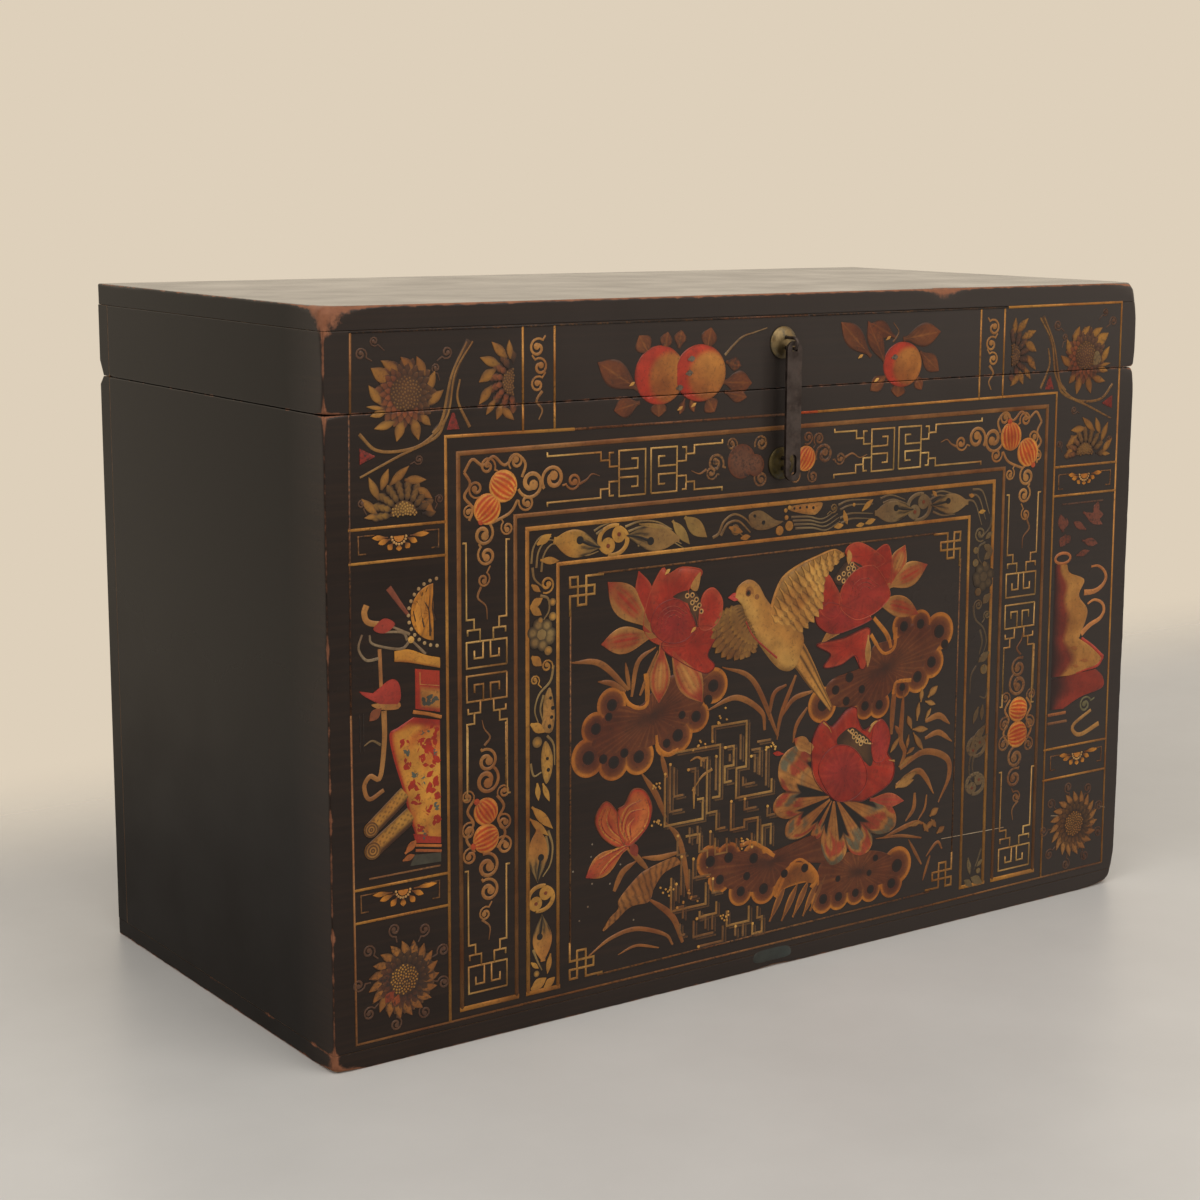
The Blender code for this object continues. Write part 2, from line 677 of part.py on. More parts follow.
def build_trunk():
    """Makes the body first, then the lid on its pivot, and last the hasp on its own."""
    lacquer = make_material("black_lacquer", (0.022, 0.020, 0.019), 0.35)
    bare_wood = make_material("bare_wood", (0.23, 0.13, 0.07), 0.7)
    bamboo = make_material("bamboo", (0.45, 0.32, 0.15), 0.6)
    brass = make_material("old_brass", (0.16, 0.12, 0.06), 0.45, 0.9)
    iron = make_material("wrought_iron", (0.06, 0.05, 0.045), 0.55, 0.8)
    lid = add_pivot("lid_pivot", (0, HINGE_Y, HINGE_Z))
    hasp = add_pivot("hasp_pivot", (0, HASP_Y, HASP_Z))

    front_board = make_front("front_board", WALL_FOOT, BODY_HEIGHT, WALL_FINGERS, lacquer)
    back_board = make_back_board(lacquer)
    left_board = make_side("left_side_board", -1, WALL_FOOT, BODY_HEIGHT, WALL_FINGERS, lacquer)
    right_board = make_side("right_side_board", 1, WALL_FOOT, BODY_HEIGHT, WALL_FINGERS, lacquer)
    bottom_board = make_slab("bottom_board", 0.0, BOTTOM_THICKNESS, lacquer)
    make_lip_strips(bare_wood)

    top_board = make_slab("lid_top_board", LID_TOP_FOOT, TRUNK_TOP, lacquer, lid)
    front_rail = make_front("lid_front_rail", LID_FOOT, RAIL_TOP, RAIL_FINGERS, lacquer, lid)
    back_rail = make_lid_back_rail(lacquer, lid)
    left_rail = make_side("lid_left_rail", -1, LID_FOOT, RAIL_TOP, RAIL_FINGERS, lacquer, lid)
    right_rail = make_side("lid_right_rail", 1, LID_FOOT, RAIL_TOP, RAIL_FINGERS, lacquer, lid)
    make_lid_pegs(top_board, [front_rail, back_rail, left_rail, right_rail], bamboo, lid)

    head = (BOARD_NAIL_HEAD, BOARD_NAIL_HEAD_THICKNESS, BOARD_NAIL_SHANK)
    walls = [front_board, back_board, left_board, right_board]
    bottom_sizes = (*head, BOTTOM_THICKNESS + BOTTOM_NAIL_BITE)
    make_nails("bottom_nail", bottom_nail_places(), bottom_sizes, walls + [bottom_board], iron)
    back_sizes = (*head, BACK_THICKNESS + BACK_NAIL_BITE)
    back_places = back_nail_places(WALL_FOOT, BODY_HEIGHT, BACK_NAILS_PER_SIDE)
    make_nails("back_nail", back_places, back_sizes, [back_board, left_board, right_board], iron)
    lid_places = back_nail_places(LID_FOOT, RAIL_TOP, 1)
    make_nails("lid_back_nail", lid_places, back_sizes, [back_rail, left_rail, right_rail], iron, lid)

    make_hinges(back_board, back_rail, brass, iron, lid)

    upper_plate = make_plate("hasp_upper_plate", HASP_Z, UPPER_PLATE_DOME, brass, lid)
    make_staple("hasp_upper_staple", HASP_Y, HASP_Z, [upper_plate, front_rail], iron, lid)
    lower_plate = make_plate("hasp_lower_plate", STAPLE_Z, LOWER_PLATE_DOME, brass)
    make_staple("hasp_lower_staple", LOWER_STAPLE_Y, STAPLE_Z, [lower_plate, front_board], iron)
    make_strap(iron, hasp)


clear_scene()
build_trunk()
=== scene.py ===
# %% [markdown]
# # A black-lacquered Chinese trunk
# The construction is loaded as a fixed frame: boards, hinges and hasp stand where they were built. This
# script gives them their finish: worn black lacquer, old bare wood inside, tarnished brass and iron, and
# the gold, red and orange ornament that was painted in low relief on the front.

# %% Load the fixed frame and read its sizes
import math

import bmesh
import bpy
import numpy as np
from mathutils import Matrix, Vector


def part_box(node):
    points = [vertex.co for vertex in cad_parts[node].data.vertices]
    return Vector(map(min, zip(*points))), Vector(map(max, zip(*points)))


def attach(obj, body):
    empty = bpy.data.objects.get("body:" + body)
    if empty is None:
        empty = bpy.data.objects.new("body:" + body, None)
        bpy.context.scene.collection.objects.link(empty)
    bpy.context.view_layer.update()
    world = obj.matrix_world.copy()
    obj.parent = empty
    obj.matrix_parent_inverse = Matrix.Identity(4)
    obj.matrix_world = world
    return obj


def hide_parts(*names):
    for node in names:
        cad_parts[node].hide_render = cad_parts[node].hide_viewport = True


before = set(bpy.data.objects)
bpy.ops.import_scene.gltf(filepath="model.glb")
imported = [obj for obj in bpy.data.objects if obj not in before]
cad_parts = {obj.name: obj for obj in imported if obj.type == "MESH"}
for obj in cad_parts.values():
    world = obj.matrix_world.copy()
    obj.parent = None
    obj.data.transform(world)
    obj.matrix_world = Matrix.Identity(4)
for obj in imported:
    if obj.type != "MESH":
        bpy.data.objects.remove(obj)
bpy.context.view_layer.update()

MM = 0.001
front_low, front_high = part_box("front_board")
HALF_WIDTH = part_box("right_side_board")[1].x
FRONT_Y = front_low.y
BACK_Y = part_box("back_board")[1].y
BODY_TOP = front_high.z
LID_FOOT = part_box("lid_front_rail")[0].z
TRUNK_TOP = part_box("lid_top_board")[1].z

# %% [markdown]
# ## Small helpers for every finish
# Colours are written as they look on a screen, in sRGB hex, and the shader works in linear light, so one
# function turns the first into the second. Another adds a shader node with its settings and fills its
# sockets: a number or a hex colour is set, and a node is linked by its first live output. So each finish
# below reads as a list of what it is made of.

# %% Colour and node helpers
def linear(hex_colour):
    """sRGB to linear light: each channel c becomes ((c + 0.055) / 1.055) to the power 2.4."""
    channels = np.array([int(hex_colour[start:start + 2], 16) for start in (1, 3, 5)]) / 255
    return ((channels + 0.055) / 1.055) ** 2.4


def rgba(hex_colour):
    """The same colour with full cover, as sockets take it."""
    return (*linear(hex_colour), 1.0)


def fill(tree, node, inputs):
    """Fills sockets by name or number: values and hex colours are set, nodes and outputs are linked."""
    for name, value in inputs.items():
        if isinstance(value, bpy.types.Node):
            value = next(output for output in value.outputs if output.enabled)
        if isinstance(value, bpy.types.NodeSocket):
            tree.links.new(value, node.inputs[name])
        else:
            node.inputs[name].default_value = rgba(value) if isinstance(value, str) else value


def add_node(tree, kind, inputs=None, **settings):
    """Adds a shader node, applies its settings and fills its sockets."""
    node = tree.nodes.new("ShaderNode" + kind)
    for name, value in settings.items():
        setattr(node, name, value)
    fill(tree, node, inputs or {})
    return node


def start_material(name):
    """A material with a Principled shader; returns it, its node tree and its Object coordinates."""
    material = bpy.data.materials.new(name)
    material.use_nodes = True
    tree = material.node_tree
    return material, tree, add_node(tree, "TexCoord").outputs["Object"]


def dress(material, inputs):
    """Fills the material's Principled shader and hands the material back."""
    fill(material.node_tree, material.node_tree.nodes["Principled BSDF"], inputs)
    return material


# The colour sockets of a Mix node
MIX_A, MIX_B = 6, 7
print("helpers ready; mid grey in linear light is", linear("#808080").round(3)[0])

# %% [markdown]
# ## Camera
# The photograph was taken a little above the lid, from the left of the front. The corner points of the
# trunk fix the camera's place, its turn and its lens; the small shift is the crop of the picture.

# %% Camera
CAMERA_PLACE = Vector((-1.1598, -1.6169, 0.650))
CAMERA_YAW = math.radians(-36.243)
CAMERA_PITCH = math.radians(9.759)
CAMERA_ROLL = math.radians(0.447)
PICTURE_SIDE = 1200
FOCAL_PIXELS = 2290
PICTURE_CENTRE = (661.3, 571.1)
SENSOR = 36.0


def add_camera():
    """Builds the camera's axes: level right, forward dipped by the pitch, then both turned by the roll."""
    level = Vector((math.cos(CAMERA_YAW), math.sin(CAMERA_YAW), 0))
    ahead = Vector((-math.sin(CAMERA_YAW), math.cos(CAMERA_YAW), 0)) * math.cos(CAMERA_PITCH)
    ahead.z = -math.sin(CAMERA_PITCH)
    upright = level.cross(ahead)
    right = math.cos(CAMERA_ROLL) * level + math.sin(CAMERA_ROLL) * upright
    up = -math.sin(CAMERA_ROLL) * level + math.cos(CAMERA_ROLL) * upright
    lens = bpy.data.cameras.new("camera")
    lens.sensor_width = SENSOR
    lens.lens = FOCAL_PIXELS * SENSOR / PICTURE_SIDE
    lens.shift_x = 0.5 - PICTURE_CENTRE[0] / PICTURE_SIDE
    lens.shift_y = PICTURE_CENTRE[1] / PICTURE_SIDE - 0.5
    camera = bpy.data.objects.new("camera", lens)
    camera.matrix_world = Matrix.Translation(CAMERA_PLACE) @ Matrix((right, up, -ahead)).transposed().to_4x4()
    bpy.context.scene.collection.objects.link(camera)
    bpy.context.scene.camera = camera
    return camera


camera = add_camera()
print("camera lens", round(camera.data.lens, 1), "mm")

# %% [markdown]
# ## Light, backdrop and floor
# A trunk like this is shown against a pale wall under a soft ceiling light. The wall is the world itself:
# it is cream to the eye and in reflections behind the trunk, and a dimmer room in front of it. Large soft
# lamps light the front at a plain level. The floor is pale polished screed that fades into the backdrop
# behind.

# %% World and lamps
WALL_CREAM = "#ded0bb"
ROOM_TONE = "#e0cbb6"
WORLD_LIGHT = 0.33


def make_world():
    """Soft light for the surfaces, and a cream wall that only eye and mirror rays see."""
    world = bpy.data.worlds.new("studio")
    world.use_nodes = True
    tree = world.node_tree
    tree.nodes.clear()
    rays = add_node(tree, "LightPath")
    seen = add_node(tree, "Math", {0: rays.outputs["Is Camera Ray"], 1: rays.outputs["Is Glossy Ray"]},
                    operation="MAXIMUM")
    seen = add_node(tree, "Math", {0: seen, 1: rays.outputs["Is Transmission Ray"]}, operation="MAXIMUM")
    place = add_node(tree, "TexCoord")
    axes = add_node(tree, "SeparateXYZ", {0: place.outputs["Generated"]})
    behind = add_node(tree, "MapRange", {0: axes.outputs["Y"], 1: -0.15, 2: 0.35})
    # What the lacquer mirrors: a wall that is dim towards the floor, and a room that is lit from the right.
    wall_level = add_node(tree, "MapRange", {0: axes.outputs["Z"], 1: -0.06, 2: 0.10, 3: 0.92, 4: 1.55})
    room_level = add_node(tree, "MapRange", {0: axes.outputs["Z"], 1: -0.16, 2: 0.0, 3: 0.35, 4: 1.25})
    room_side = add_node(tree, "MapRange", {0: axes.outputs["X"], 1: 0.35, 2: 0.75, 3: 0.70, 4: 1.20})
    room_level = add_node(tree, "Math", {0: room_level, 1: room_side}, operation="MULTIPLY")
    level = add_node(tree, "Mix", {0: behind, 2: room_level, 3: wall_level})
    level = add_node(tree, "Mix", {0: rays.outputs["Is Camera Ray"], 2: level, 3: 1.0})
    behind = add_node(tree, "Math", {0: behind, 1: rays.outputs["Is Camera Ray"]}, operation="MAXIMUM")
    wall = add_node(tree, "Mix", {0: behind, MIX_A: ROOM_TONE, MIX_B: WALL_CREAM}, data_type="RGBA")
    wall = add_node(tree, "Background", {0: wall, 1: level})
    soft = add_node(tree, "Background", {0: "#fffbf6", 1: WORLD_LIGHT})
    both = add_node(tree, "MixShader", {0: seen, 1: soft, 2: wall})
    add_node(tree, "OutputWorld", {0: both})
    bpy.context.scene.world = world


def add_lamp(name, place, target, size, power):
    """A square soft lamp that looks at a target point."""
    lamp = bpy.data.lights.new(name, "AREA")
    lamp.size = size
    lamp.energy = power
    lamp.color = linear("#fffaf3")
    holder = bpy.data.objects.new(name, lamp)
    holder.location = place
    holder.rotation_euler = (Vector(target) - Vector(place)).to_track_quat("-Z", "Y").to_euler()
    bpy.context.scene.collection.objects.link(holder)


make_world()
add_lamp("ceiling_lamp", (-0.6, -1.2, 2.9), (0, 0, 0.2), 2.4, 50)
add_lamp("front_lamp", (0.9, -3.0, 1.9), (0, 0, 0.3), 2.2, 46)
add_lamp("left_lamp", (-3.0, -0.6, 1.8), (0, 0, 0.3), 2.0, 26)
bpy.context.scene.view_settings.view_transform = "Standard"

# %% Floor
FLOOR_REACH = 6.0
FLOOR_FADE = (0.34, 0.80)


def make_floor():
    """A flat square under the trunk, whose cover falls to nothing behind it."""
    mesh = bpy.data.meshes.new("floor")
    corners = [(x * FLOOR_REACH, y * FLOOR_REACH, 0) for x, y in ((-1, -1), (1, -1), (1, 1), (-1, 1))]
    mesh.from_pydata(corners, [], [(0, 1, 2, 3)])
    floor = bpy.data.objects.new("floor", mesh)
    bpy.context.scene.collection.objects.link(floor)
    # Polished screed: pale grey, cloudy at the scale of a trowel's sweep, faintly glossy.
    material, tree, place = start_material("polished_screed")
    cloud = add_node(tree, "TexNoise", {"Vector": place, "Scale": 1 / 0.35, "Detail": 6.0, "Roughness": 0.6})
    tone = add_node(tree, "Mix", {0: cloud, MIX_A: "#b1b0ae", MIX_B: "#cdccca"}, data_type="RGBA")
    axes = add_node(tree, "SeparateXYZ", {0: place})
    start, stop = FLOOR_FADE
    cover = add_node(tree, "MapRange", {0: axes.outputs["Y"], 1: start, 2: stop, 3: 1.0, 4: 0.0},
                     interpolation_type="SMOOTHSTEP")
    mesh.materials.append(dress(material, {"Base Color": tone, "Roughness": 0.42, "Alpha": cover}))


make_floor()
print("floor fades out between", FLOOR_FADE, "m behind the middle")

# %% [markdown]
# ## Black lacquer and old wood
# The outside was brushed with black oil lacquer over a thin ground. After a century it is satin rather
# than bright, a little brown where it has thinned, finely streaked along the grain, and rubbed through to
# reddish wood along the edges. The rubbing needs to know where the edges are, so each board carries a
# number per point called edge, and noise breaks its rim into chips. Inside, the planks were never coated.

# %% Lacquer finish
def make_lacquer():
    """Black oil lacquer brushed on wood: satin black, faint streaks, worn to wood where edge is high."""
    material, tree, place = start_material("brushed_black_lacquer")
    cloud = add_node(tree, "TexNoise", {"Vector": place, "Scale": 1 / (70 * MM), "Detail": 5.0})
    along = add_node(tree, "Mapping", {0: place, 3: (1 / 0.4, 1 / 0.4, 1 / (3 * MM))})
    streak = add_node(tree, "TexNoise", {"Vector": along, "Scale": 1.0, "Detail": 4.0})
    tone = add_node(tree, "Mix", {0: cloud, MIX_A: "#1d1714", MIX_B: "#2b231f"}, data_type="RGBA")
    streaked = add_node(tree, "MapRange", {0: streak, 1: 0.45, 2: 0.75, 3: 0.0, 4: 0.4})
    tone = add_node(tree, "Mix", {0: streaked, MIX_A: tone, MIX_B: "#36281f"}, data_type="RGBA")
    # Painted light: the front is greyed towards the right and the top; the other sides get a painted-shade
    # black.
    axes = add_node(tree, "SeparateXYZ", {0: place})
    front = add_node(tree, "MapRange", {0: axes.outputs["Y"], 1: -0.14, 2: -0.19})
    right = add_node(tree, "MapRange", {0: axes.outputs["X"], 1: -0.34, 2: 0.39, 3: 0.0, 4: 0.52})
    high = add_node(tree, "MapRange", {0: axes.outputs["Z"], 1: 0.38, 2: 0.52, 3: 0.0, 4: 0.28})
    painted_light_share = add_node(tree, "Math", {0: right, 1: high})
    tone = add_node(tree, "Mix", {0: painted_light_share, MIX_A: tone, MIX_B: "#423d3a"}, data_type="RGBA")
    # Painted shade: every face but the front is given a near-black tone.
    tone = add_node(tree, "Mix", {0: front, MIX_A: "#120e0c", MIX_B: tone}, data_type="RGBA")
    # Rubbed edges: chips of up to 9 mm break the rim of the edge number.
    edge = add_node(tree, "Attribute", attribute_name="edge")
    chips = add_node(tree, "TexNoise",
                     {"Vector": place, "Scale": 1 / (9 * MM), "Detail": 5.0, "Roughness": 0.65})
    rubbed = add_node(tree, "Math", {0: chips, 1: 1.1, 2: -0.55}, operation="MULTIPLY_ADD")
    rubbed = add_node(tree, "Math", {0: rubbed, 1: edge.outputs["Fac"]})
    rubbed = add_node(tree, "MapRange", {0: rubbed, 1: 0.62, 2: 0.86})
    wood = add_node(tree, "Mix", {0: chips, MIX_A: "#5a3323", MIX_B: "#96664c"}, data_type="RGBA")
    colour = add_node(tree, "Mix", {0: rubbed, MIX_A: tone, MIX_B: wood}, data_type="RGBA")
    matt = add_node(tree, "MapRange", {0: cloud, 1: 0.3, 2: 0.7, 3: 0.17, 4: 0.25})
    matt = add_node(tree, "Math", {0: rubbed, 1: 0.3, 2: matt}, operation="MULTIPLY_ADD")
    # Mops and dust have dulled the foot of the trunk.
    dulled = add_node(tree, "MapRange", {0: axes.outputs["Z"], 1: 0.34, 2: 0.06, 3: 0.0, 4: 0.32})
    matt = add_node(tree, "Math", {0: matt, 1: dulled})
    fine = add_node(tree, "TexNoise", {"Vector": place, "Scale": 1 / (4 * MM), "Detail": 3.0})
    height = add_node(tree, "Math", {0: streak, 1: 0.6, 2: fine}, operation="MULTIPLY_ADD")
    height = add_node(tree, "Math", {0: rubbed, 1: -1.5, 2: height}, operation="MULTIPLY_ADD")
    bump = add_node(tree, "Bump", {"Strength": 0.22, "Distance": 0.10 * MM, "Height": height})
    return dress(material, {"Base Color": colour, "Roughness": matt, "Normal": bump, "IOR": 1.2})


def make_bare_wood():
    """Old sawn softwood: brown, darker late-wood lines 4 mm apart along the board, dry and rough."""
    material, tree, place = start_material("aged_sawn_wood")
    along = add_node(tree, "Mapping", {0: place, 3: (1 / 0.25, 1 / (4 * MM), 1 / (4 * MM))})
    grain = add_node(tree, "TexNoise", {"Vector": along, "Scale": 1.0, "Detail": 5.0})
    stain = add_node(tree, "TexNoise", {"Vector": place, "Scale": 1 / (110 * MM), "Detail": 4.0})
    tone = add_node(tree, "Mix", {0: grain, MIX_A: "#6a4a32", MIX_B: "#a8815a"}, data_type="RGBA")
    aged = add_node(tree, "MapRange", {0: stain, 1: 0.4, 2: 0.75, 3: 0.0, 4: 0.55})
    tone = add_node(tree, "Mix", {0: aged, MIX_A: tone, MIX_B: "#4d382a"}, data_type="RGBA")
    bump = add_node(tree, "Bump", {"Strength": 0.4, "Distance": 0.3 * MM, "Height": grain})
    return dress(material, {"Base Color": tone, "Roughness": 0.72, "Normal": bump})


lacquer = make_lacquer()
bare_wood = make_bare_wood()
print("finishes:", lacquer.name, bare_wood.name)

# %% [markdown]
# ## Boards with worn edges
# Each visible board is a box drawn on a lattice whose lines crowd together near its edges. Its corners are
# mitred by shortening every layer by its depth. Then the whole body, or the whole lid, is rounded as one:
# a point outside the box shrunk by the wear radius is drawn onto a ball of that radius. Where the trunk
# was knocked, the radius is larger, and where it was rubbed, more wood shows.

# %% Lattice boxes
# How far from an edge the crowded lines lie, and the even step between the others
EDGE_LINES = np.array([0, 0.4, 0.9, 1.6, 2.6, 4.0, 6.0, 9.0]) * MM
LATTICE_STEP = 6 * MM


def lattice_lines(low, high):
    """Lines along one side of a board, close together near both ends."""
    near = EDGE_LINES[EDGE_LINES < 0.49 * (high - low)]
    start, stop = low + near[-1], high - near[-1]
    count = max(int(round((stop - start) / LATTICE_STEP)), 1)
    return np.concatenate([low + near[:-1], np.linspace(start, stop, count + 1), high - near[:-1][::-1]])


def lattice_box(low, high):
    """Points and outward quads of a box: the skin of a 3-D lattice, numbered once, so it is closed."""
    lines = [lattice_lines(start, stop) for start, stop in zip(low, high)]
    skin = np.ones([len(line) for line in lines], bool)
    skin[1:-1, 1:-1, 1:-1] = False
    number = np.cumsum(skin.ravel()).reshape(skin.shape) - 1
    points = np.stack(np.meshgrid(*lines, indexing="ij"), axis=-1)[skin]
    quads = []
    for axis in range(3):
        for end, outward in ((0, -1), (-1, 1)):
            sheet = number.take(end, axis=axis)
            if (axis == 1) != (outward < 0):
                sheet = sheet.T
            corners = sheet[:-1, :-1], sheet[1:, :-1], sheet[1:, 1:], sheet[:-1, 1:]
            quads.append(np.stack(corners, axis=-1).reshape(-1, 4))
    return points, np.concatenate(quads)


def ripple(points, size, seed):
    """Smooth random variation of about that size: twice the mean of eight sine waves in random directions."""
    rng = np.random.default_rng(seed)
    ways = rng.normal(size=(8, 3))
    ways *= 2 * np.pi / size / np.linalg.norm(ways, axis=1, keepdims=True)
    return 2 * np.sin(points @ ways.T + rng.uniform(0, 2 * np.pi, 8)).mean(axis=1)


def round_box(points, low, high, radius):
    """Draws points that lie outside the box shrunk by radius onto a ball of that radius."""
    core = np.clip(points, low + radius[:, None], high - radius[:, None])
    away = points - core
    length = np.maximum(np.linalg.norm(away, axis=1), 1e-9)
    return core + away * np.minimum(radius / length, 1)[:, None]


print("lattice lines across a board 100 mm wide:", len(lattice_lines(0, 100 * MM)))

# %% Knocks and rubbed edges
# Each knock: its place, how far it reaches, what it adds to the wear radius, and how bare it leaves the wood
left, right, front, back = -HALF_WIDTH, HALF_WIDTH, FRONT_Y, BACK_Y
FOOT_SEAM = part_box("bottom_board")[1][2]
BODY_KNOCKS = [
    ((left, front, 0.000), 0.018, 0.0040, 0.62),
    ((left, -0.090, FOOT_SEAM), 0.006, 0.0010, 0.50),
    ((left, -0.165, FOOT_SEAM), 0.005, 0.0008, 0.40),
    ((right, front, 0.000), 0.022, 0.0100, 0.30),
    ((0.000, front, 0.000), 0.018, 0.0030, 0.10),
    ((left, front, 0.104), 0.006, 0.0014, 0.45),
    ((left, front, 0.192), 0.008, 0.0012, 0.40),
    ((left, front, 0.318), 0.005, 0.0012, 0.40),
    ((left, front, BODY_TOP), 0.010, 0.0022, 0.30),
    ((right, front, BODY_TOP), 0.012, 0.0040, 0.30),
    ((left, back, BODY_TOP), 0.014, 0.0060, 0.05),
]
LID_KNOCKS = [
    ((left, front, TRUNK_TOP), 0.028, 0.0055, 0.85),
    ((0.175, front, TRUNK_TOP), 0.017, 0.0065, 0.80),
    ((right, front, TRUNK_TOP), 0.020, 0.0080, 0.25),
    ((left, front, LID_FOOT), 0.010, 0.0030, 0.45),
    ((right, front, LID_FOOT), 0.010, 0.0030, 0.25),
    ((left, back, LID_FOOT), 0.014, 0.0060, 0.05),
]
# Each long edge rubbed by hands and dust cloths: one end, the other end, and how bare it is
BODY_RUBS = [
    ((left, front, 0.0), (left, front, BODY_TOP), 0.22),
    ((left, front, 0.0), (right, front, 0.0), 0.24),
    ((left, front, 0.0), (left, back, 0.0), 0.42),
    ((left, front, FOOT_SEAM), (left, 0.02, FOOT_SEAM), 0.56),
    ((left, front, BODY_TOP), (right, front, BODY_TOP), 0.10),
    ((right, front, 0.0), (right, front, BODY_TOP), 0.08),
]
LID_RUBS = [
    ((left, front, TRUNK_TOP), (right, front, TRUNK_TOP), 0.50),
    ((left, front, TRUNK_TOP), (left, back, TRUNK_TOP), 0.16),
    ((left, front, LID_FOOT), (right, front, LID_FOOT), 0.14),
    ((left, front, LID_FOOT), (left, front, TRUNK_TOP), 0.16),
    ((right, front, TRUNK_TOP), (right, back, TRUNK_TOP), 0.20),
]
BODY_BOX = np.array([(left, front, 0.0), (right, back, BODY_TOP)])
LID_BOX = np.array([(left, front, LID_FOOT), (right, back, TRUNK_TOP)])


def wear_down(points, box, knocks, rubs, seed):
    """Rounds the body or the lid as a whole and says how near each point is to a rubbed edge."""
    radius = (1.5 + 0.5 * ripple(points, 30 * MM, seed) + 0.35 * ripple(points, 9 * MM, seed + 1)) * MM
    # Body and lid shelter each other at the seam, where the edges are still crisp.
    seam = np.exp(-np.abs(points[:, 2] - BODY_TOP) / (4 * MM))
    radius *= 1 - 0.6 * seam
    bare = np.zeros(len(points))
    for place, reach, depth, bareness in knocks:
        near = np.exp(-np.sum((points - place) ** 2, axis=1) / reach ** 2)
        radius += depth * near
        bare += bareness * near
    for start, stop, bareness in rubs:
        nearest = np.clip(points, np.minimum(start, stop), np.maximum(start, stop))
        bare += bareness * np.exp(-np.linalg.norm(points - nearest, axis=1) / (2.8 * MM))
    to_sides = np.sort(np.concatenate([points - box[0], box[1] - points], axis=1), axis=1)
    edge = np.exp(-to_sides[:, 1] / (2.4 * MM)) * (to_sides[:, 0] < 1 * MM)
    worn = round_box(points, box[0], box[1], np.maximum(radius, 0.5 * MM))
    return worn, 0.62 * edge + bare


print("knocks:", len(BODY_KNOCKS), "on the body,", len(LID_KNOCKS), "on the lid")

# %% Boards
ARRIS = 0.35 * MM
HAIR_GAP = 0.15 * MM
# A board that ends this near the outside is drawn out to it, so that its mitre starts from a sharp corner.
FLUSH = 2 * MM


def show(mesh, materials):
    """Gives a mesh its materials and smooth shading and puts it into the scene at the origin."""
    for material in materials:
        mesh.materials.append(material)
    mesh.shade_smooth()
    piece = bpy.data.objects.new(mesh.name, mesh)
    bpy.context.scene.collection.objects.link(piece)
    return piece


def mesh_object(name, points, faces, materials):
    """Puts computed points and faces into a mesh object."""
    mesh = bpy.data.meshes.new(name)
    mesh.from_pydata(points.tolist(), [], faces)
    return show(mesh, materials)


def mitre(points, node):
    """Shortens each layer by its depth: the front at both ends, a side at its front end only."""
    if "front" in node:
        depth = points[:, 1] - FRONT_Y + HAIR_GAP
        points[:, 0] *= 1 - depth / HALF_WIDTH
    elif "left" in node or "right" in node:
        depth = HALF_WIDTH - np.abs(points[:, 0]) + HAIR_GAP
        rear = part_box(node)[1].y
        points[:, 1] += depth * ((rear - points[:, 1]) / (rear - FRONT_Y))
    return points


def add_board(node, body, box, knocks, rubs, seed):
    """Lattice box of the CAD board, eased along its own arrises, mitred, and worn with its neighbours."""
    low, high = (np.array(corner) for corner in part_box(node))
    if "front" in node or "left" in node or "right" in node:
        low[:2] = np.where(np.abs(low[:2] - box[0][:2]) < FLUSH, box[0][:2], low[:2])
        high[0] = np.where(np.abs(high[0] - box[1][0]) < FLUSH, box[1][0], high[0])
    points, quads = lattice_box(low, high)
    middles = points[quads].mean(axis=1)
    coated = np.abs(middles[:, 0]) > HALF_WIDTH - ARRIS
    coated |= (middles[:, 1] < FRONT_Y + ARRIS) | (middles[:, 1] > BACK_Y - ARRIS)
    coated |= middles[:, 2] > TRUNK_TOP - ARRIS
    coated |= (middles[:, 2] > BODY_TOP - ARRIS) & (middles[:, 2] < LID_FOOT + ARRIS)
    points = round_box(points, low, high, np.full(len(points), ARRIS))
    points = mitre(points, node)
    points, edge = wear_down(points, box, knocks, rubs, seed)
    board = mesh_object(node + "_finished", points, quads.tolist(), [lacquer, bare_wood])
    board.data.polygons.foreach_set("material_index", np.where(coated, 0, 1).astype(np.int32))
    board.data.attributes.new("edge", "FLOAT", "POINT").data.foreach_set("value", edge.astype(np.float32))
    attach(board, body)
    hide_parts(node)
    return board


for node in ("front_board", "left_side_board", "right_side_board", "bottom_board"):
    board = add_board(node, "trunk", BODY_BOX, BODY_KNOCKS, BODY_RUBS, seed=7)
    print(board.name, len(board.data.polygons), "faces")
for node in ("lid_top_board", "lid_front_rail", "lid_left_rail", "lid_right_rail"):
    board = add_board(node, "lid", LID_BOX, LID_KNOCKS, LID_RUBS, seed=11)
    print(board.name, len(board.data.polygons), "faces")

# %% [markdown]
# ## Back boards
# The two boards at the back carry the bevels and the hinge mortises, so their CAD shape is kept: a copy is
# cleaned of its loose triangles and gets a fine bevel along every arris.

# %% Softened copies of CAD shapes
FLAT_ANGLE = math.radians(1)
BEVEL_ANGLE = math.radians(35)


def soften(node, body, width, materials):
    """Copies a CAD node, merges its triangles into flat faces and bevels the arrises that are left."""
    bm = bmesh.new()
    bm.from_mesh(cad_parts[node].data)
    bmesh.ops.remove_doubles(bm, verts=bm.verts, dist=0.01 * MM)
    bmesh.ops.dissolve_limit(bm, angle_limit=FLAT_ANGLE, verts=bm.verts, edges=bm.edges)
    mesh = bpy.data.meshes.new(node + "_finished")
    bm.to_mesh(mesh)
    bm.free()
    piece = show(mesh, materials)
    mesh.set_sharp_from_angle(angle=BEVEL_ANGLE)
    bevel = piece.modifiers.new("arris", "BEVEL")
    bevel.width = width
    bevel.segments = 2
    bevel.limit_method = "ANGLE"
    bevel.angle_limit = BEVEL_ANGLE
    bevel.harden_normals = True
    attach(piece, body)
    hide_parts(node)
    return piece


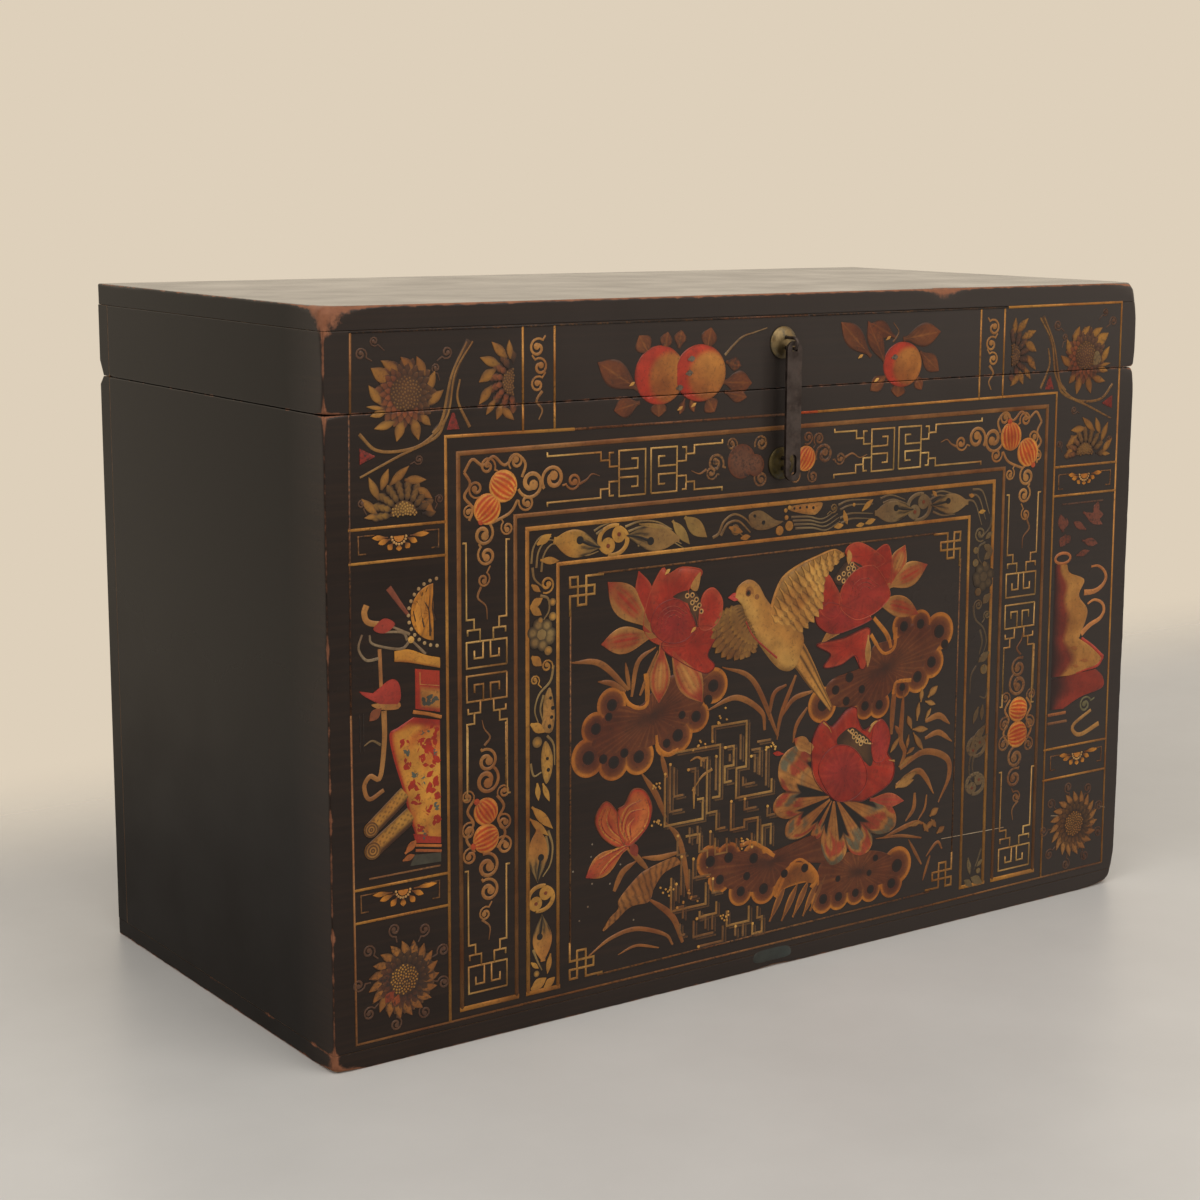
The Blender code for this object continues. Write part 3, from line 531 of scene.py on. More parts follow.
def bare_inside(piece):
    """Gives bare wood to every face that doesn't lie on the outside of the trunk."""
    middles = np.empty(len(piece.data.polygons) * 3)
    piece.data.polygons.foreach_get("center", middles)
    middles = middles.reshape(-1, 3)
    inside = (middles[:, 1] < BACK_Y - 8 * MM) & (np.abs(middles[:, 0]) < HALF_WIDTH - MM)
    piece.data.polygons.foreach_set("material_index", inside.astype(np.int32))


for node, body in (("back_board", "trunk"), ("lid_back_rail", "lid")):
    piece = soften(node, body, 0.8 * MM, [lacquer, bare_wood])
    bare_inside(piece)
    print(piece.name, len(piece.data.polygons), "faces before its bevel")

# %% [markdown]
# ## Hasp, hinges, nails and strips
# The round plates are cast brass gone brown and green, the strap and staples are forged iron with a dark,
# slightly greasy skin. Old metal is never one colour, so both mix two tones by noise at the scale of a
# thumbprint, and the dents are a few millimetres wide.

# %% Metal finishes
def make_metal(name, dark, light, spot, spot_share, rough, dent):
    """A metal of two tones and a tarnish, with dents of the given size in metres."""
    material, tree, place = start_material(name)
    cloud = add_node(tree, "TexNoise",
                     {"Vector": place, "Scale": 1 / (12 * MM), "Detail": 6.0, "Roughness": 0.65})
    tone = add_node(tree, "MapRange", {0: cloud, 1: 0.35, 2: 0.65})
    tone = add_node(tree, "Mix", {0: tone, MIX_A: dark, MIX_B: light}, data_type="RGBA")
    patch = add_node(tree, "TexNoise", {"Vector": place, "Scale": 1 / (5 * MM), "Detail": 4.0})
    patch = add_node(tree, "MapRange", {0: patch, 1: 0.52, 2: 0.70, 3: 0.0, 4: spot_share})
    colour = add_node(tree, "Mix", {0: patch, MIX_A: tone, MIX_B: spot}, data_type="RGBA")
    matt = add_node(tree, "MapRange", {0: cloud, 1: 0.3, 2: 0.7, 3: rough - 0.08, 4: rough + 0.12})
    clean = add_node(tree, "MapRange", {0: patch, 1: 0.0, 2: 1.0, 3: 1.0, 4: 0.2})
    beaten = add_node(tree, "TexNoise", {"Vector": place, "Scale": 1 / dent, "Detail": 2.0})
    bump = add_node(tree, "Bump", {"Strength": 0.5, "Distance": 0.25 * MM, "Height": beaten})
    return dress(material, {"Base Color": colour, "Roughness": matt, "Metallic": clean, "Normal": bump})


# Cast brass, tarnished: dull yellow-brown with olive patches.
brass = make_metal("tarnished_cast_brass", "#65573e", "#827253", "#3f3a2c", 0.8, 0.45, 3 * MM)
# Forged iron, handled: brown-black with rust bloom and the soft unevenness of the hammer.
iron = make_metal("forged_iron", "#37312f", "#4d4643", "#392a22", 0.7, 0.5, 4 * MM)
# The lower plate gets a second copy of the brass in much darker tones, nearly black.
dark_brass = make_metal("blackened_cast_brass", "#39331f", "#574d33", "#211f18", 0.8, 0.5, 3 * MM)
print("metals:", brass.name, iron.name, dark_brass.name)

# %% Hardware
soften("hasp_upper_plate", "lid", 0.35 * MM, [brass])
soften("hasp_lower_plate", "trunk", 0.35 * MM, [dark_brass])
for node, body in (("hasp_strap", "hasp"), ("hasp_upper_staple", "lid"), ("hasp_lower_staple", "trunk")):
    soften(node, body, 0.5 * MM, [iron])
for name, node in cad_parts.items():
    if "leaf" in name or "pin" in name:
        finish = brass
    elif "nail" in name:
        finish = iron
    else:
        finish = bare_wood
    node.data.materials.clear()
    node.data.materials.append(finish)
print("finished", len(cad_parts), "CAD nodes")

# %% [markdown]
# ## Paint that stands proud
# The ornament was drawn with gold size and oil colours in a thin relief, so it has a real thickness and
# catches the light at its rims. It could be an image on a flat board, but then it would vanish from the
# mesh. Here every stroke, petal and bead is a small closed solid, from a third of a millimetre thick to a
# little over one where shapes lie on each other. It is worked out on the front in millimetres: x from the
# middle, z from the floor. A colour attribute holds its paint, and the attribute's fourth number, hold,
# says how much is left.

# %% Paints
GOLD = "#b98640"
PALE_GOLD = "#c4a163"
BRIGHT_GOLD = "#dcae5c"
DULL_GOLD = "#8c6238"
BROWN_GOLD = "#7e5433"
RED = "#a62d18"
DEEP_RED = "#6e1b16"
PINK_RED = "#b54c30"
ORANGE = "#cf5f20"
PALE_ORANGE = "#e8a84a"
TAN = "#b98a4a"
PALE_TAN = "#cfa76a"
SHADE_TAN = "#8f6436"
LEAF = "#643419"
LEAF_DARK = "#331b10"
LEAF_RIM = "#bd7a2c"
BIRD_TAN = "#bb8640"
INK = "#17120f"


def mix(first, second, share):
    """Blends two paints; share may be an array, and 0 is all of the first."""
    first, second = (linear(tone) if isinstance(tone, str) else np.asarray(tone) for tone in (first, second))
    share = np.clip(np.asarray(share, float), 0, 1)[..., None]
    return first + (second - first) * share


def step(value, low, high):
    """Rises smoothly from 0 at low to 1 at high."""
    share = np.clip((np.asarray(value, float) - low) / (high - low), 0, 1)
    return share * share * (3 - 2 * share)


def outward(first, second, low, high):
    """Paint that goes from the first to the second between two shares of the way out, or along a petal."""
    return lambda share, other: mix(first, second, step(share, low, high))


def curve(points, spacing=1.5):
    """A smooth line through given points: Catmull-Rom segments, sampled evenly by length.

    Each segment runs from b to c as t goes from 0 to 1, with a before them and d after them.
    """
    knots = np.asarray(points, float)
    lengths = np.linalg.norm(np.diff(knots, axis=0), axis=1)
    far = np.concatenate([[0], np.cumsum(lengths)])
    places = np.linspace(0, far[-1], max(int(far[-1] / spacing), len(knots), 3) + 1)
    segment = np.clip(np.searchsorted(far, places, side="right") - 1, 0, len(knots) - 2)
    t = ((places - far[segment]) / lengths[segment])[:, None]
    knots = np.concatenate([[2 * knots[0] - knots[1]], knots, [2 * knots[-1] - knots[-2]]])
    a, b, c, d = (knots[segment + place] for place in range(4))
    cubic = (3 * b - a - 3 * c + d) * t ** 3
    return 0.5 * (2 * b + (c - a) * t + (2 * a - 5 * b + 4 * c - d) * t ** 2 + cubic)


def resample(path, shares):
    """Points at the given shares of the way along a path, counted by its own points."""
    along = np.linspace(0, 1, len(path))
    return np.stack([np.interp(shares, along, path[:, axis]) for axis in (0, 1)], axis=1)


def sideways(path):
    """Unit normals of a path, lengthened at its corners as a mitre needs."""
    along = np.diff(path, axis=0)
    along /= np.maximum(np.linalg.norm(along, axis=1, keepdims=True), 1e-9)
    across = np.stack([-along[:, 1], along[:, 0]], axis=1)
    before, after = np.concatenate([across[:1], across]), np.concatenate([across, across[-1:]])
    middle = before + after
    middle /= np.maximum(np.linalg.norm(middle, axis=1, keepdims=True), 1e-9)
    return middle / np.maximum(np.sum(middle * before, axis=1, keepdims=True), 0.5)


print("a smooth line from three points has", len(curve([(0, 0), (10, 8), (20, 0)])), "points")

# %% Closed films of paint
# How far a film's rim sinks into the lacquer, in mm, and the angle from which its edge is shaded as a crease
SINK = 0.12
FILM_EDGE = math.radians(35)


class PaintFilms:
    """Gathers raised shapes on the front, in millimetres, and turns them into closed meshes."""

    def __init__(self):
        self.places, self.paints, self.faces, self.count = [], [], [], 0

    def gather(self, x, z, lift, paint, hold):
        """Keeps a grid's points and paint; returns their numbers on the same grid."""
        self.places.append(np.stack([x, z, lift], axis=-1).reshape(-1, 3))
        paint = linear(paint) if isinstance(paint, str) else paint
        filled = np.empty(x.shape + (4,))
        filled[..., :3] = paint
        filled[..., 3] = hold
        self.paints.append(filled.reshape(-1, 4))
        numbers = self.count + np.arange(x.size).reshape(x.shape)
        self.count += x.size
        return numbers

    def sheet(self, x, z, lift, paint, hold=1.0):
        """A grid of points closed underneath: its top quads, one strip below and two ends."""
        net = self.gather(x, z, lift, paint, hold)
        top = np.stack([net[:-1, :-1], net[1:, :-1], net[1:, 1:], net[:-1, 1:]], axis=-1).reshape(-1, 4)
        below = np.stack([net[:-1, -1], net[1:, -1], net[1:, 0], net[:-1, 0]], axis=-1)
        faces = top.tolist() + below.tolist() + [net[0].tolist(), net[-1, ::-1].tolist()]
        turn = np.sum((x[1:, 1:] - x[:-1, :-1]) * (z[:-1, 1:] - z[1:, :-1])
                      - (z[1:, 1:] - z[:-1, :-1]) * (x[:-1, 1:] - x[1:, :-1]))
        self.faces += faces if turn > 0 else [face[::-1] for face in faces]

    def rings(self, x, z, lift, paint, hold=1.0):
        """Rings from the rim (first row) to the middle (last row), closed round, below and on top."""
        net = self.gather(x, z, lift, paint, hold)
        following = np.roll(net, -1, axis=1)
        side = np.stack([net[:-1], following[:-1], following[1:], net[1:]], axis=-1).reshape(-1, 4)
        self.faces += side.tolist() + [net[-1].tolist(), net[0, ::-1].tolist()]

    def build(self, name, material, body):
        """Joins the shapes into one mesh on the front; y is the front less the lift."""
        places = np.concatenate(self.places) * MM
        points = np.stack([places[:, 0], FRONT_Y - places[:, 2], places[:, 1]], axis=1)
        piece = mesh_object(name, points, self.faces, [material])
        if material is oil_colour:
            piece.data.set_sharp_from_angle(angle=FILM_EDGE)
        paints = np.concatenate(self.paints).astype(np.float32)
        piece.data.attributes.new("paint", "FLOAT_COLOR", "POINT").data.foreach_set("color", paints.ravel())
        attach(piece, body)
        print(name, len(self.faces), "faces on", body)
        return piece


print("each film sinks", SINK, "mm into the lacquer")

# %% Relief: the shapes of one paint layer
# A stroke's points from rim to rim, in half-widths
SECTION = np.array([-1.0, -0.62, 0.0, 0.62, 1.0])


class Relief(PaintFilms):
    """What a brush draws: strokes, skins between two edges, petals, filled outlines and spots."""

    def stroke(self, points, width, paint, hold=1.0, lift=0.35, taper=(1, 1), smooth=True):
        """A rounded ridge along a path; its half-width runs evenly from each taper to the next."""
        path = curve(points) if smooth else np.asarray(points, float)
        run = np.linspace(0, len(taper) - 1, len(path))
        half = 0.5 * width * np.interp(run, np.arange(len(taper)), taper)[:, None]
        offset = sideways(path)[:, None, :] * (half * SECTION)[..., None]
        grid = path[:, None, :] + offset
        rise = np.where(np.abs(SECTION) == 1, -SINK, lift * (1 - 0.5 * SECTION ** 2))
        self.sheet(grid[..., 0], grid[..., 1], np.broadcast_to(rise, grid.shape[:2]), paint, hold)

    def lines(self, paths, width, paint, hold=1.0, lift=0.35):
        """Straight strokes with mitred corners."""
        for points in paths:
            self.stroke(points, width, paint, hold, lift, smooth=False)

    def panel(self, one, other, paint, hold=1.0, lift=0.3, dome=0.15, across=9, spacing=2.0):
        """The skin between two edges that run the same way: point = one + (other - one) * v."""
        edges = [curve(edge, spacing) if len(edge) > 2 else np.asarray(edge, float) for edge in (one, other)]
        u = np.linspace(0, 1, max(6, *map(len, edges)))
        one, other = (resample(edge, u) for edge in edges)
        v = np.concatenate([[0], np.linspace(0.04, 0.96, across), [1]])
        grid = one[:, None] + (other - one)[:, None] * v[None, :, None]
        u, v = np.broadcast_arrays(u[:, None], v[None, :])
        rise = np.where((v == 0) | (v == 1), -SINK, lift + dome * 4 * v * (1 - v))
        self.sheet(grid[..., 0], grid[..., 1], rise, paint(u, 2 * v - 1) if callable(paint) else paint, hold)

    def petal(self, base, tip, width, paint, bend=0.0, hold=1.0, lift=0.3, dome=0.09, belly=0.55, root=0.25):
        """A leaf shape: a bent spine with half-width sin(pi u^k), where k puts the widest place at belly."""
        base, tip = np.asarray(base, float), np.asarray(tip, float)
        way = tip - base
        length = np.hypot(*way)
        side = np.array([-way[1], way[0]]) / length
        u = np.linspace(0, 1, max(int(length / 2), 7))
        spine = base + way * u[:, None] + side * (bend * length * 4 * u * (1 - u))[:, None]
        full = np.sin(np.pi * u ** (math.log(0.5) / math.log(belly)))
        half = 0.5 * width * np.maximum(full, np.where(u < belly, root, 0.04))
        columns = 5 if width <= 9 else 9 if width <= 16 else 15
        v = np.concatenate([[-1], np.linspace(-0.93, 0.93, columns), [1]])
        grid = spine[:, None] + sideways(spine)[:, None] * (half[:, None] * v)[..., None]
        u, v = np.broadcast_arrays(u[:, None], v[None])
        rise = np.where(np.abs(v) == 1, -SINK, lift + dome * (1 - v ** 2))
        self.sheet(grid[..., 0], grid[..., 1], rise, paint(u, v) if callable(paint) else paint, hold)

    def fan(self, centre, outline, paint, hold=1.0, lift=0.3, dome=0.1, steps=7):
        """The star-shaped skin inside an outline: each ring is the outline drawn towards the centre."""
        rim = np.asarray(outline, float)
        area = np.sum(rim[:, 0] * np.roll(rim[:, 1], -1) - rim[:, 1] * np.roll(rim[:, 0], -1))
        rim = rim if area > 0 else rim[::-1]
        r = np.concatenate([[1], np.linspace(0.975, 0.03, steps)])
        grid = np.asarray(centre, float) + (rim - centre)[None] * r[:, None, None]
        r, around = np.broadcast_arrays(r[:, None], np.linspace(0, 1, len(rim))[None])
        rise = np.where(r == 1, -SINK, lift + dome * (1 - r ** 2))
        self.rings(grid[..., 0], grid[..., 1], rise, paint(r, around) if callable(paint) else paint, hold)

    def disc(self, centre, radius, paint, hold=1.0, lift=0.35, dome=0.2, points=16, steps=4):
        """A round bead or spot."""
        turn = np.linspace(0, 2 * np.pi, points, endpoint=False)
        outline = np.asarray(centre) + radius * np.stack([np.cos(turn), np.sin(turn)], axis=1)
        self.fan(centre, outline, paint, hold, lift, dome, steps)


print("a stroke has", len(SECTION), "points from rim to rim")

# %% Paint finish
def make_paint(name, metal, rough):
    """Oil colour or gold on lacquer: its own tone in 14 mm clouds and 2 mm grit, rubbed where hold is low."""
    material, tree, place = start_material(name)
    paint = add_node(tree, "Attribute", attribute_name="paint")
    cloud = add_node(tree, "TexNoise",
                     {"Vector": place, "Scale": 1 / (14 * MM), "Detail": 5.0, "Roughness": 0.6})
    shade = add_node(tree, "MapRange", {0: cloud, 1: 0.25, 2: 0.75, 3: 0.50, 4: 1.0})
    tone = add_node(tree, "VectorMath", {0: paint.outputs["Color"], "Scale": shade}, operation="SCALE")
    # Brown varnish has gathered in patches of about 50 mm.
    age = add_node(tree, "TexNoise", {"Vector": place, "Scale": 1 / (50 * MM), "Detail": 4.0})
    age = add_node(tree, "MapRange", {0: age, 1: 0.34, 2: 0.66})
    varnish = add_node(tree, "Mix", {0: age, MIX_A: "#cbac94", MIX_B: "#fffaf0"}, data_type="RGBA")
    tone = add_node(tree, "VectorMath", {0: tone, 1: varnish}, operation="MULTIPLY")
    grit = add_node(tree, "TexNoise",
                    {"Vector": place, "Scale": 1 / (2.2 * MM), "Detail": 5.0, "Roughness": 0.7})
    left_over = add_node(tree, "Math", {0: cloud, 1: 0.5, 2: grit}, operation="MULTIPLY_ADD")
    gone = add_node(tree, "Math", {0: left_over, 1: paint.outputs["Alpha"]}, operation="SUBTRACT")
    gone = add_node(tree, "MapRange", {0: gone, 1: -0.12, 2: 0.12})
    # Pinholes and hair cracks let the black ground show through everywhere.
    speck = add_node(tree, "MapRange", {0: grit, 1: 0.54, 2: 0.72, 3: 0.0, 4: 0.6})
    gone = add_node(tree, "Math", {0: gone, 1: speck}, operation="MAXIMUM")
    colour = add_node(tree, "Mix", {0: gone, MIX_A: tone, MIX_B: "#1b1512"}, data_type="RGBA")
    bump = add_node(tree, "Bump", {"Strength": 0.4, "Distance": 0.12 * MM, "Height": grit})
    return dress(material, {"Base Color": colour, "Roughness": rough, "Metallic": metal, "Normal": bump,
                            "IOR": 1.38})


# Gold powder laid in tacky oil: an ochre glow, brighter where it catches a lamp.
gold_size = make_paint("powdered_gold_size", 0.35, 0.42)
# Oil colour that has dried to a satin skin.
oil_colour = make_paint("brushed_oil_colour", 0.0, 0.40)
print("paints:", gold_size.name, oil_colour.name)

# %% [markdown]
# ## Gold lines
# Ruled lines divide the front: an outer border, a portal of bands that opens downwards round the picture,
# and two columns of small panels. They were drawn with a ruling brush, so each is a straight ridge with
# mitred corners, and the years have rubbed some stretches almost away.

# %% Borders, portal and columns
gold = Relief()
for path, width, paint, hold in (
    ([(-390, 541.5), (-60, 541.5)], 1.8, DULL_GOLD, 0.62), ([(28, 541.5), (250, 542)], 1.8, DULL_GOLD, 0.62),
    ([(-60, 541.5), (26, 541.7)], 1.8, BROWN_GOLD, 0.75),
    ([(250, 542), (391, 543), (394.5, 22)], 2.4, GOLD, 0.98),
    ([(-389, 541.5), (-390, 484)], 2.2, DULL_GOLD, 0.93),
    ([(-391, 484), (-393, 268)], 1.8, BROWN_GOLD, 0.72),
    ([(-393, 268), (-392.5, 19.5), (-250, 20)], 2.0, DULL_GOLD, 0.92),
    ([(-250, 20), (180, 20.5)], 2.0, DULL_GOLD, 0.85), ([(180, 20.5), (394.5, 22)], 2.0, DULL_GOLD, 0.85),
    ([(-312.5, 20), (-312.5, 464), (-200, 463)], 2.8, GOLD, 1),
    ([(-200, 463), (16, 463)], 2.2, BROWN_GOLD, 0.8), ([(17, 463.5), (38, 463.5)], 2.4, ORANGE, 1),
    ([(38, 463.5), (312.5, 465.5), (314.5, 22)], 2.4, GOLD, 1),
    ([(-302, 27.5), (-302, 451), (301.5, 454), (303.5, 30)], 4.2, DULL_GOLD, 1),
    ([(-253, 27.5), (-253, 401), (251, 402.5), (252.5, 30)], 3.8, DULL_GOLD, 1),
    ([(-304, 27.5), (-251, 27.5)], 4.4, GOLD, 1), ([(250.5, 30), (305.5, 30)], 4.4, GOLD, 1),
    ([(-242.5, 27.5), (-242.5, 390.5), (239.5, 392), (241, 30)], 4.0, GOLD, 0.97),
    ([(-215, 27.5), (-215, 361.5), (211, 363), (213.5, 30)], 3.4, GOLD, 0.97),
    ([(-244.5, 27.5), (-213, 27.5)], 4.0, GOLD, 1), ([(212, 30), (243, 30)], 4.0, GOLD, 1),
    ([(-203.5, 325), (-203.5, 60)], 1.8, DULL_GOLD, 0.78), ([(-178, 351), (172, 352)], 1.8, DULL_GOLD, 0.78),
    ([(202, 328), (202, 62)], 1.8, DULL_GOLD, 0.78), ([(-178, 29.5), (176, 33)], 1.8, DULL_GOLD, 0.78),
):
    gold.lines([path], width, paint, hold)
for side, levels in ((-1, (402, 377.5, 137, 112)), (1, (399, 373, 141, 112.5))):
    for z in levels:
        gold.lines([[(side * 312.5, z), (side * 393, z)]], 2.4, GOLD, hold=0.92)
for side in (-1, 1):
    gold.lines([[(side * x, 541), (side * x, 464)] for x in (246, 218)], 2.2, GOLD, hold=0.9)
for x, z in ((-352, 390), (-354, 125.5), (352, 385), (355, 127)):
    for side in (-1, 1):
        bracket = [(x + side * 20, z + 7), (x + side * 33, z + 7), (x + side * 33, z - 6),
                   (x + side * 27, z - 6)]
        gold.lines([bracket], 1.2, DULL_GOLD, hold=0.8)
print("ruled", len(gold.places), "lines")

# %% [markdown]
# ## Frets and endless knots
# Between the tendrils, the outer band carries square frets in pairs, raised like fine cord. One half is
# drawn in its own coordinates, along the band and across it, and then turned and mirrored into its places.
# The knots in the corners of the picture are a single line that crosses itself, drawn the same way.

# %% Frets
# A fret's hooks: how deep they start, and how far off the middle they run; then its steps the same way
FRET_HOOK = (10, 3.2, 10.8)
FRET_STEPS = (9, 17, 5.8, 11)
FRET_WIDTH = 1.7


def fret(centre, turn, box=(3, 24), reach=70, wide=17.5, halves=(1, -1)):
    """Draws the halves of a key fret: a box, two hooks in it, and steps that lead to two side lines."""
    inner, outer = box
    depth, near, far = FRET_HOOK
    first, second, low, high = FRET_STEPS
    paths = [[(inner, -wide), (outer, -wide), (outer, wide), (inner, wide), (inner, -wide)]]
    for side in (-1, 1):
        paths.append([(outer, side * near), (depth, side * near), (depth, side * far),
                      (depth + 6, side * far)])
        paths.append([(outer, side * low), (outer + first, side * low), (outer + first, side * high),
                      (outer + second, side * high), (outer + second, side * wide), (reach, side * wide),
                      (reach, side * (wide + 3))])
        paths.append([(outer + 5, side * (wide - 1)), (outer + first, side * (wide - 1)),
                      (outer + first, side * high)])
    turn = math.radians(turn)
    axes = np.array([(math.cos(turn), math.sin(turn)), (-math.sin(turn), math.cos(turn))])
    for half in halves:
        for path in paths:
            placed = np.asarray(centre) + np.array(path) * (half, 1) @ axes
            gold.lines([placed], FRET_WIDTH, PALE_GOLD, hold=0.97, lift=0.45)


for centre, half, reach in (((-131.5, 426.5), -1, 93), ((-131.5, 426.5), 1, 72), ((124.5, 428), 1, 98),
                            ((124.5, 428), -1, 68)):
    fret(centre, 0, box=(2.7, 27.5), reach=reach, halves=(half,))
fret((-278.5, 287.5), 90, reach=97, box=(3, 22.5))
fret((276, 283.5), 90, reach=95, box=(3.5, 24.5), wide=18)
fret((-279, 35), 90, box=(3.5, 24.5), reach=100, wide=17, halves=(1,))
fret((279, 33.5), 90, box=(3.5, 23.5), reach=95, wide=19, halves=(1,))
for x, low, high in ((-295.5, 196, 246), (-262, 196, 246), (258, 200, 242), (295.5, 200, 242)):
    gold.lines([[(x, low), (x, high)]], FRET_WIDTH, PALE_GOLD, hold=0.85, lift=0.45)
print("frets drawn;", len(gold.places), "gold strokes so far")

# %% Endless knots
KNOT = np.array([(20, 10), (4, 10), (4, -12), (-4, -12), (-4, 10), (-11, 10), (-11, 2.5), (11.5, 2.5),
                 (11.5, -4.5), (-11, -4.5), (-11, -20)])
for x, z, across, up in ((-193, 340, 1, 1), (190, 341, -1, 1), (-193, 41, 1, -1), (191, 45, -1, -1)):
    gold.lines([KNOT * (across, up) + (x, z)], 2.2, "#ad8547", hold=0.98, lift=0.45)
print("knots drawn")

# %% [markdown]
# ## Tendrils and ribbed gourds
# From the orange gourds in the corners run curling tendrils. A curl is a spiral whose radius falls evenly
# as it turns; it starts at the point where it leaves its neighbour and ends in a bead.

# %% Curls and gourds
def curl(relief, centre, radius, leaves, hand=1, turns=1.35, width=3.0, paint=GOLD, hold=1.0):
    """A spiral r = radius * (1 - 0.78 t) from the side that faces the leaving point, with a bead inside."""
    centre, leaves = np.asarray(centre, float), np.asarray(leaves, float)
    first = math.atan2(leaves[1] - centre[1], leaves[0] - centre[0])
    t = np.linspace(0, 1, max(int(radius * turns * 2.4), 12))
    r = radius * (1 - 0.78 * t)
    angle = first + hand * 2 * np.pi * turns * t
    path = centre + np.stack([r * np.cos(angle), r * np.sin(angle)], axis=1)
    width = min(width, radius * 0.42)
    lead = (leaves + path[0]) / 2
    path = np.concatenate([[leaves, lead], path]) if np.hypot(*(leaves - path[0])) > 1.5 else path
    relief.stroke(path, width, paint, hold, taper=(0.55, 1), smooth=False)
    relief.disc(path[-1], width * 0.85, paint, hold, points=10)


def gourd(relief, centre, radius, tilt, ribs=6):
    """A round fruit: a dome whose ribs follow x / sqrt(1 - z^2), gold on the ridges, red in the grooves."""
    tilt = math.radians(tilt)

    def paint(r, around):
        angle = 2 * np.pi * around - tilt
        x, z = r * np.cos(angle), r * np.sin(angle)
        rib = np.abs(np.sin(x / np.sqrt(np.maximum(1.02 - z * z, 0.04)) * math.pi * ribs / 2))
        skin = mix("#bd4218", "#d2651e", step(rib, 0.1, 0.6))
        skin = mix(skin, PALE_ORANGE, step(rib + 0.3 * r, 0.92, 1.2))
        return mix(skin, "#cf9344", 0.8 * step(r, 0.86, 0.95))

    relief.disc(centre, radius, paint, lift=0.3, dome=0.9, points=64, steps=16)


tendrils = Relief()
print("a curl and a gourd are ready to draw")

# %% Tendril band
# Each curl: its centre, its radius, where it leaves its neighbour, and its hand
TENDRIL_GOLD = "#a87840"
CURL_SWELL = 1.18
CURL_WIDTH = 4.7
SIDE_CURLS = [
    ((-239, 425), 10, (-251, 421), 1), ((-219, 427), 9, (-229, 420), -1), ((-201, 424), 6, (-211, 421), 1),
    ((-277, 440), 6, (-268, 436), 1), ((-252, 442), 6, (-258, 436), -1), ((-287, 424), 6, (-283, 417), -1),
    ((-293, 407), 5, (-288, 409), 1), ((-243, 411), 6, (-252, 413), 1), ((-260, 393), 5, (-266, 401), 1),
    ((-281, 390), 8, (-279, 398), -1), ((-278, 374), 7, (-285, 383), 1), ((-281, 356), 5, (-275, 366), -1),
    ((-279, 218), 8, (-284, 228), -1), ((-279, 203), 9.5, (-273, 213), -1), ((-296, 192), 5, (-290, 190), 1),
    ((-264, 192), 5, (-270, 190), -1), ((-295, 166), 6, (-290, 172), 1), ((-264, 168), 6, (-269, 174), -1),
    ((-264, 150), 6.5, (-269, 157), -1), ((-294, 146), 6, (-290, 152), 1), ((-279, 136), 9, (-283, 146), -1),
    ((-278, 117), 8, (-284, 127), -1), ((-281, 99), 5, (-275, 108), 1),
]
MIDDLE_CURLS = [
    ((46, 428), 8, (37, 424), -1), ((63, 424), 5, (55, 423), 1), ((28, 443), 5, (24, 437), 1),
    ((40, 441), 5, (34, 434), -1), ((14, 440), 5, (19, 434), 1), ((15, 412), 5, (20, 418), -1),
    ((34, 411), 5, (30, 417), 1), ((-66, 428), 7, (-56, 424), 1), ((-70, 421), 5, (-62, 419), -1),
    ((-20, 441), 6, (-28, 438), -1), ((-20, 413), 6, (-28, 418), 1), ((-50, 442), 5, (-44, 437), 1),
]
SIDE_TAILS = [
    [(-196, 421), (-189, 424), (-184, 428), (-177, 426)],
    [(-283, 351), (-286, 343), (-279, 336), (-278, 326)],
    [(-281, 230), (-276, 236), (-281, 243), (-283, 250)], [(-284, 95), (-277, 88), (-278, 78)],
]
WREATHS = [
    [(-297, 437), (-290, 446), (-281, 441), (-272, 447), (-262, 440), (-252, 447), (-244, 440), (-247, 430)],
    [(-297, 437), (-292, 428), (-297, 419), (-290, 410), (-293, 401)],
    [(-251, 413), (-258, 404), (-276, 397)],
    [(-290, 190), (-296, 181), (-291, 171), (-297, 160), (-290, 149)],
    [(-270, 190), (-264, 181), (-269, 171), (-263, 160), (-270, 149)],
]
# The right side mirrors the left, a little nearer and higher, and its lower half is rubbed.
for side, move in ((1, (0, 0)), (-1, (-2, 4))):
    for centre, radius, leaves, hand in SIDE_CURLS:
        worn = side < 0 and centre[1] < 240
        centre, leaves = (np.array(place) * (side, 1) + move for place in (centre, leaves))
        curl(tendrils, centre, CURL_SWELL * radius, leaves, side * hand, width=CURL_WIDTH,
             hold=0.85 if worn else 1.0, paint=DULL_GOLD if worn else TENDRIL_GOLD)
    for tail in SIDE_TAILS:
        tendrils.stroke(np.array(tail) * (side, 1) + move, 2.4, DULL_GOLD, taper=(1, 0.25))
    for path in WREATHS:
        tendrils.stroke(np.array(path) * (side, 1) + move, 2.6, TENDRIL_GOLD, hold=0.95, lift=0.3)
for centre, radius, leaves, hand in MIDDLE_CURLS:
    curl(tendrils, centre, CURL_SWELL * radius, leaves, hand, width=CURL_WIDTH, hold=0.8, paint=DULL_GOLD)
for tail in ([(68, 424), (76, 427), (84, 423), (92, 425)], [(-75, 424), (-82, 421), (-90, 424)]):
    tendrils.stroke(tail, 2.2, DULL_GOLD, taper=(1, 0.25))
GOURDS = [(-263.5, 424.5, 12.3, 60), (-277.5, 408.5, 11.8, -45), (258, 430, 12.6, 10), (279, 415, 12.8, 30),
          (-280, 179, 10.8, 40), (-280, 158, 11.6, -70), (278, 184, 11.5, 85), (278, 161, 12.2, -80),
          (26, 426, 10.5, -30)]
for x, z, radius, tilt in GOURDS:
    gourd(tendrils, (x, z), radius, tilt)
